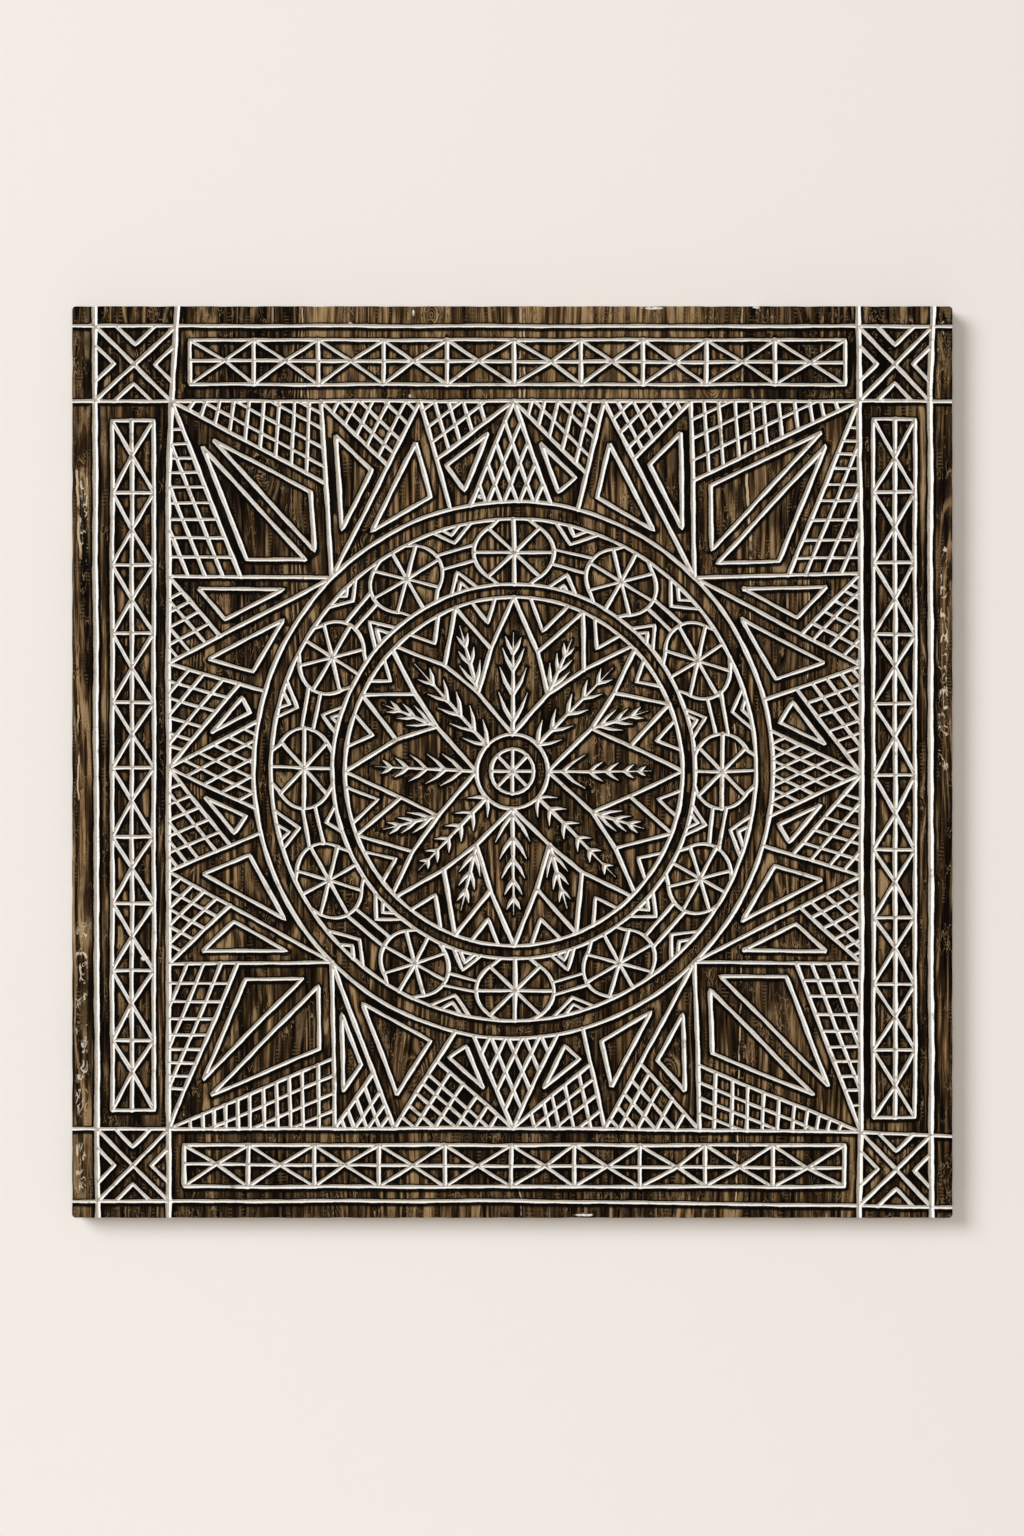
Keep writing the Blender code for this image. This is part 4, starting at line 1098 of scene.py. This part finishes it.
def scuffs(maker, wood):
    # small scuffs all over: broken tan curls, each with a dark side
    scuff = maker.stretched(maker.grain, 170, 52, 2.0, 0.55, 0.9)
    scuffed = maker.spread(maker.stretched(maker.x, 40, 30, 2.0), 0.47, 0.6)
    dark = maker.band(maker.size(scuff - 0.535), 0.008, 0.03) * scuffed
    pale = maker.band(maker.size(scuff - 0.5), 0.004, 0.02) * scuffed
    wood = maker.blend(dark * 0.7, wood, stainedWood["stainAndShadow"])
    return maker.blend(pale * 0.6, wood, stainedWood["paleLine"])


def cracks(maker, wood):
    # tan splits along the grain and the joints, each in a dark seam
    jitter = maker.noise(maker.vector(maker.x * 0.2, maker.y * 0.2, maker.z), 38.0, 3.0, 0.6)
    for topX, topZ, lowX, lowZ, half in maker.look["cracks"]:
        run = (topZ / 1000 - maker.z) * (1000 / (topZ - lowZ))
        centre = run * ((lowX - topX) / 1000) + topX / 1000 + (jitter - 0.5) * 0.007
        aside = maker.size(maker.x - centre) * (1000 / half)
        along = maker.spread(run, 0.0, 0.03) * maker.band(run, 0.97, 1.0)
        broken = maker.spread(maker.noise(maker.object3d, 55.0, 2.0), 0.34, 0.5)
        wood = maker.blend(maker.band(aside, 1.2, 2.6) * along * 0.75, wood, stainedWood["stainAndShadow"])
        wood = maker.blend(maker.band(aside, 0.5, 1.1) * along * broken * 0.92, wood, stainedWood["split"])
    return wood


def curls(maker, wood):
    # pale curls where an edge of the panel has scuffed
    curl = maker.stretched(maker.x, 150, 62, 1.5, 0.5, 1.2)
    line = maker.band(maker.size(curl - 0.5), 0.016, 0.044)
    gaps = maker.spread(maker.noise(maker.object3d, 90.0, 2.0), 0.46, 0.55)
    for curlX, curlZ, halfWide, halfHigh in maker.look["curls"]:
        sideways = maker.size(maker.x - curlX / 1000) * (1000 / halfWide)
        upwards = maker.size(maker.z - curlZ / 1000) * (1000 / halfHigh)
        patch = maker.band(sideways, 0.6, 1.0) * maker.band(upwards, 0.8, 1.0)
        wood = maker.blend(patch * line * gaps * 0.95, wood, stainedWood["curl"])
    return wood


def pooledStainAndShadow(maker, wood, cutDepth, wall):
    # black stain pooled beside the cuts, with painted shadow that makes it wider and darker on the side away
    # from the light
    away = (maker.speck - 0.5) * 0.5 - cutDepth
    pooledAndShadow = maker.band(away / (2.9 - wall * 1.5), 0.42, 1.2)
    # painted shadow: a soft reach of black beside the cuts, stronger on the side away from the light
    soft = maker.band(away, 0.5, 5.5) * (0.45 - wall * 0.28)
    return maker.blend(maker.atMost(pooledAndShadow * 0.94 + soft, 0.97), wood, stainedWood["stainAndShadow"])


def limeColour(maker, wall):
    # white on the wall that faces the light, painted shade in grey on the other, painted shade in brown along
    # the bottom on that wall, and brown where the lime has worn
    shade = maker.spread(wall + (maker.ragged - 0.5) * 0.35, -0.05, 0.22)
    lime = maker.blend(shade, stainedWood["limeWhite"], stainedWood["limePaintedShade"])
    # painted shade: a dark crease along the groove's bottom on the wall away from the light
    low = maker.spread(maker.attribute("share"), 0.80, 0.97) * maker.spread(wall, -0.16, 0.02)
    bottom = maker.atMost(low * (0.45 + maker.ragged * 0.6), 0.8)
    lime = maker.blend(bottom, lime, stainedWood["limeBottomShade"])
    worn = maker.noise(maker.object3d, 62.0, 4.0, 0.62) + (maker.speck - 0.5) * 0.25
    return maker.blend(maker.spread(worn, 0.60, 0.72) * 0.75, lime, stainedWood["limeWorn"])


def limedPlaces(maker, cutDepth):
    # how far the lime hides the wood: in the cuts, and in spots beside them
    shown = maker.spread(cutDepth + (maker.ragged - 0.5) * 0.9, 0.02, 0.34)
    for markX, markZ, halfWide, halfHigh in maker.look["marks"]:
        sideways = (maker.x - markX / 1000 + (maker.bend - 0.5) * 0.004) * (1000 / halfWide)
        upwards = (maker.z - markZ / 1000) * (1000 / halfHigh)
        far = maker.maths("SQRT", sideways * sideways + upwards * upwards) + (maker.ragged - 0.5) * 1.5
        spot = maker.band(far, 0.6, 1.05) * maker.spread(maker.speck, 0.34, 0.5)
        shown = maker.maths("MAXIMUM", shown, spot * 0.9)
    return shown


def limedWood(name, look):
    material = bpy.data.materials.new(name + " limed dark wood")
    material.use_nodes = True
    material.node_tree.nodes.clear()
    maker = WoodMaker(material.node_tree, look)
    cutDepth, wall = maker.attribute("cut"), maker.attribute("wall")
    wood, tone, rings = grownWood(maker)
    wood, lines, ladder = hairLines(maker, wood)
    wood = curls(maker, cracks(maker, scuffs(maker, wood)))
    # black stain pooled beside the cuts, with painted shadow on the side away from the light
    wood = pooledStainAndShadow(maker, wood, cutDepth, wall)
    shown = limedPlaces(maker, cutDepth)
    rough = maker.spread(tone, 0.3, 0.8, *stainedWood["roughness"], smooth=False)
    relief = maker.fibre * 0.6 + rings * 0.12 + maker.speck * 0.25 + ladder * 0.5 - lines * 0.3
    bump = maker.make("ShaderNodeBump", None, {
        "Strength": 0.5, "Distance": 0.0006, "Height": relief + shown * (maker.ragged * 0.5 - 0.2)})
    shader = maker.make("ShaderNodeBsdfPrincipled", None, {
        "Base Color": maker.blend(shown, wood, limeColour(maker, wall)),
        "Roughness": rough + (stainedWood["limeRoughness"] - rough) * shown,
        "Normal": bump.outputs[0],
        "Specular IOR Level": 0.02,
    })
    maker.make("ShaderNodeOutputMaterial", None, {0: shader.outputs[0]})
    return material


def makeBoards():
    places, triangles, paths = carvedFace()
    print("face:", len(places), "points", len(triangles), "triangles")
    data = grooveData(places, paths)
    print("grooves measured")
    tree = carvingTree()
    inputIds = {item.name: item.identifier for item in tree.interface.items_tree if item.in_out == "INPUT"}
    low = -panel["width"] / 2
    for name, high in panel["boards"].items():
        mesh = boardMesh(name + "_carved", low, high, places, triangles, data)
        low = high
        board = bpy.data.objects.new(name + "_carved", mesh)
        bpy.context.scene.collection.objects.link(board)
        modifier = board.modifiers.new("Carving", "NODES")
        modifier.node_group = tree
        for key, value in carvingTool.items():
            modifier[inputIds[key]] = value
        modifier[inputIds["Wood"]] = limedWood(name, boardLooks[name])
        graph = bpy.context.evaluated_depsgraph_get()
        carved = bpy.data.meshes.new_from_object(
            board.evaluated_get(graph), preserve_all_data_layers=True, depsgraph=graph)
        board.modifiers.clear()
        board.data = carved
        carved.shade_smooth()
        carved.set_sharp_from_angle(angle=math.radians(24))
        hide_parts(name)
        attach(board, "root")
        print(name, "made,", len(carved.polygons), "faces")


makeBoards()

stage = {
    "wallColour": (0.905, 0.858, 0.805),
    "floorColour": (0.86, 0.83, 0.79),
    "floorHeight": -1.9,
    "floorReach": 1.5,
    "wallReach": 2.4,
    "wallTop": 1.7,
    "wallPlace": 0.0006,  # just behind the panel's back
    "opening": (0.440, 0.456),  # half its width and height
}


def plainSurface(name, colour):
    material = bpy.data.materials.new(name)
    material.use_nodes = True
    maker = NodeMaker(material.node_tree)
    shader = material.node_tree.nodes["Principled BSDF"]
    place = maker.make("ShaderNodeTexCoord").outputs["Object"]
    grain = maker.make("ShaderNodeTexNoise", None, {"Vector": place, "Scale": 260.0, "Detail": 3.0})
    bump = maker.make("ShaderNodeBump", None, {
        "Strength": 0.12, "Distance": 0.0004, "Height": grain.outputs[0]})
    material.node_tree.links.new(bump.outputs[0], shader.inputs["Normal"])
    shader.inputs["Base Color"].default_value = (*colour, 1)
    shader.inputs["Roughness"].default_value = 0.9
    shader.inputs["Specular IOR Level"].default_value = 0.15
    return material


def makeStage():
    # a wall with an opening behind the panel, and a floor well below it
    wide, high = stage["opening"]
    base, top, side, reach = (stage[key] for key in ("floorHeight", "wallTop", "wallReach", "floorReach"))
    outer = ((-side, base), (side, base), (side, top), (-side, top))
    inner = ((-wide, -high), (wide, -high), (wide, high), (-wide, high))
    verts = [(x, stage["wallPlace"], z) for x, z in outer + inner]
    faces = [(k, (k + 1) % 4, 4 + (k + 1) % 4, 4 + k) for k in range(4)]
    floor = [(-reach, -reach, base), (reach, -reach, base), (reach, 0, base), (-reach, 0, base)]
    for name, corners, sides, colour in (
        ("wall", verts, faces, stage["wallColour"]), ("floor", floor, [(0, 1, 2, 3)], stage["floorColour"]),
    ):
        mesh = bpy.data.meshes.new(name)
        mesh.from_pydata(corners, [], sides)
        mesh.materials.append(plainSurface(name + " paint", colour))
        obj = bpy.data.objects.new(name, mesh)
        bpy.context.scene.collection.objects.link(obj)


makeStage()

studio = {
    "keyPower": 1500.0,
    "keySize": 8.0,
    "keyColour": (0.985, 1.015, 1.06),
    "keyPlace": (-9.0, -9.6, 5.6),
    "fillPower": 150.0,
    "fillColour": (1.03, 0.965, 0.89),
    "fillSize": 3.0,
    "fillPlace": (0.0, -7.0, 0.2),
    "skyStrength": 0.16,
    "cameraDistance": 3.4,
    "frameHeight": 1.570,
    "frameCentre": (-0.0003, -0.0061),
}


def makeStudio():
    # a large key from the upper left, and a softer one beside the camera so that the shadows stay pale
    for name in ("key", "fill"):
        light = bpy.data.lights.new(name + " light", "AREA")
        light.shape = "DISK"
        light.size = studio[name + "Size"]
        light.energy = studio[name + "Power"]
        light.color = studio[name + "Colour"]
        lamp = bpy.data.objects.new(name + " light", light)
        lamp.location = studio[name + "Place"]
        lamp.rotation_mode = "QUATERNION"
        lamp.rotation_quaternion = Vector(studio[name + "Place"]).to_track_quat("Z", "Y")
        bpy.context.scene.collection.objects.link(lamp)
    world = bpy.data.worlds.new("soft studio")
    world.use_nodes = True
    world.node_tree.nodes["Background"].inputs["Color"].default_value = (1.0, 0.985, 0.965, 1)
    world.node_tree.nodes["Background"].inputs["Strength"].default_value = studio["skyStrength"]
    bpy.context.scene.world = world
    lens = bpy.data.cameras.new("camera")
    lens.lens = lens.sensor_width * studio["cameraDistance"] / studio["frameHeight"]
    camera = bpy.data.objects.new("camera", lens)
    x, z = studio["frameCentre"]
    camera.location = (x, -studio["cameraDistance"] - panel["thickness"] / 1000, z)
    camera.rotation_euler = (math.radians(90), 0, 0)
    bpy.context.scene.collection.objects.link(camera)
    bpy.context.scene.camera = camera
    bpy.context.scene.view_settings.view_transform = "Standard"
    print("studio ready")


makeStudio()
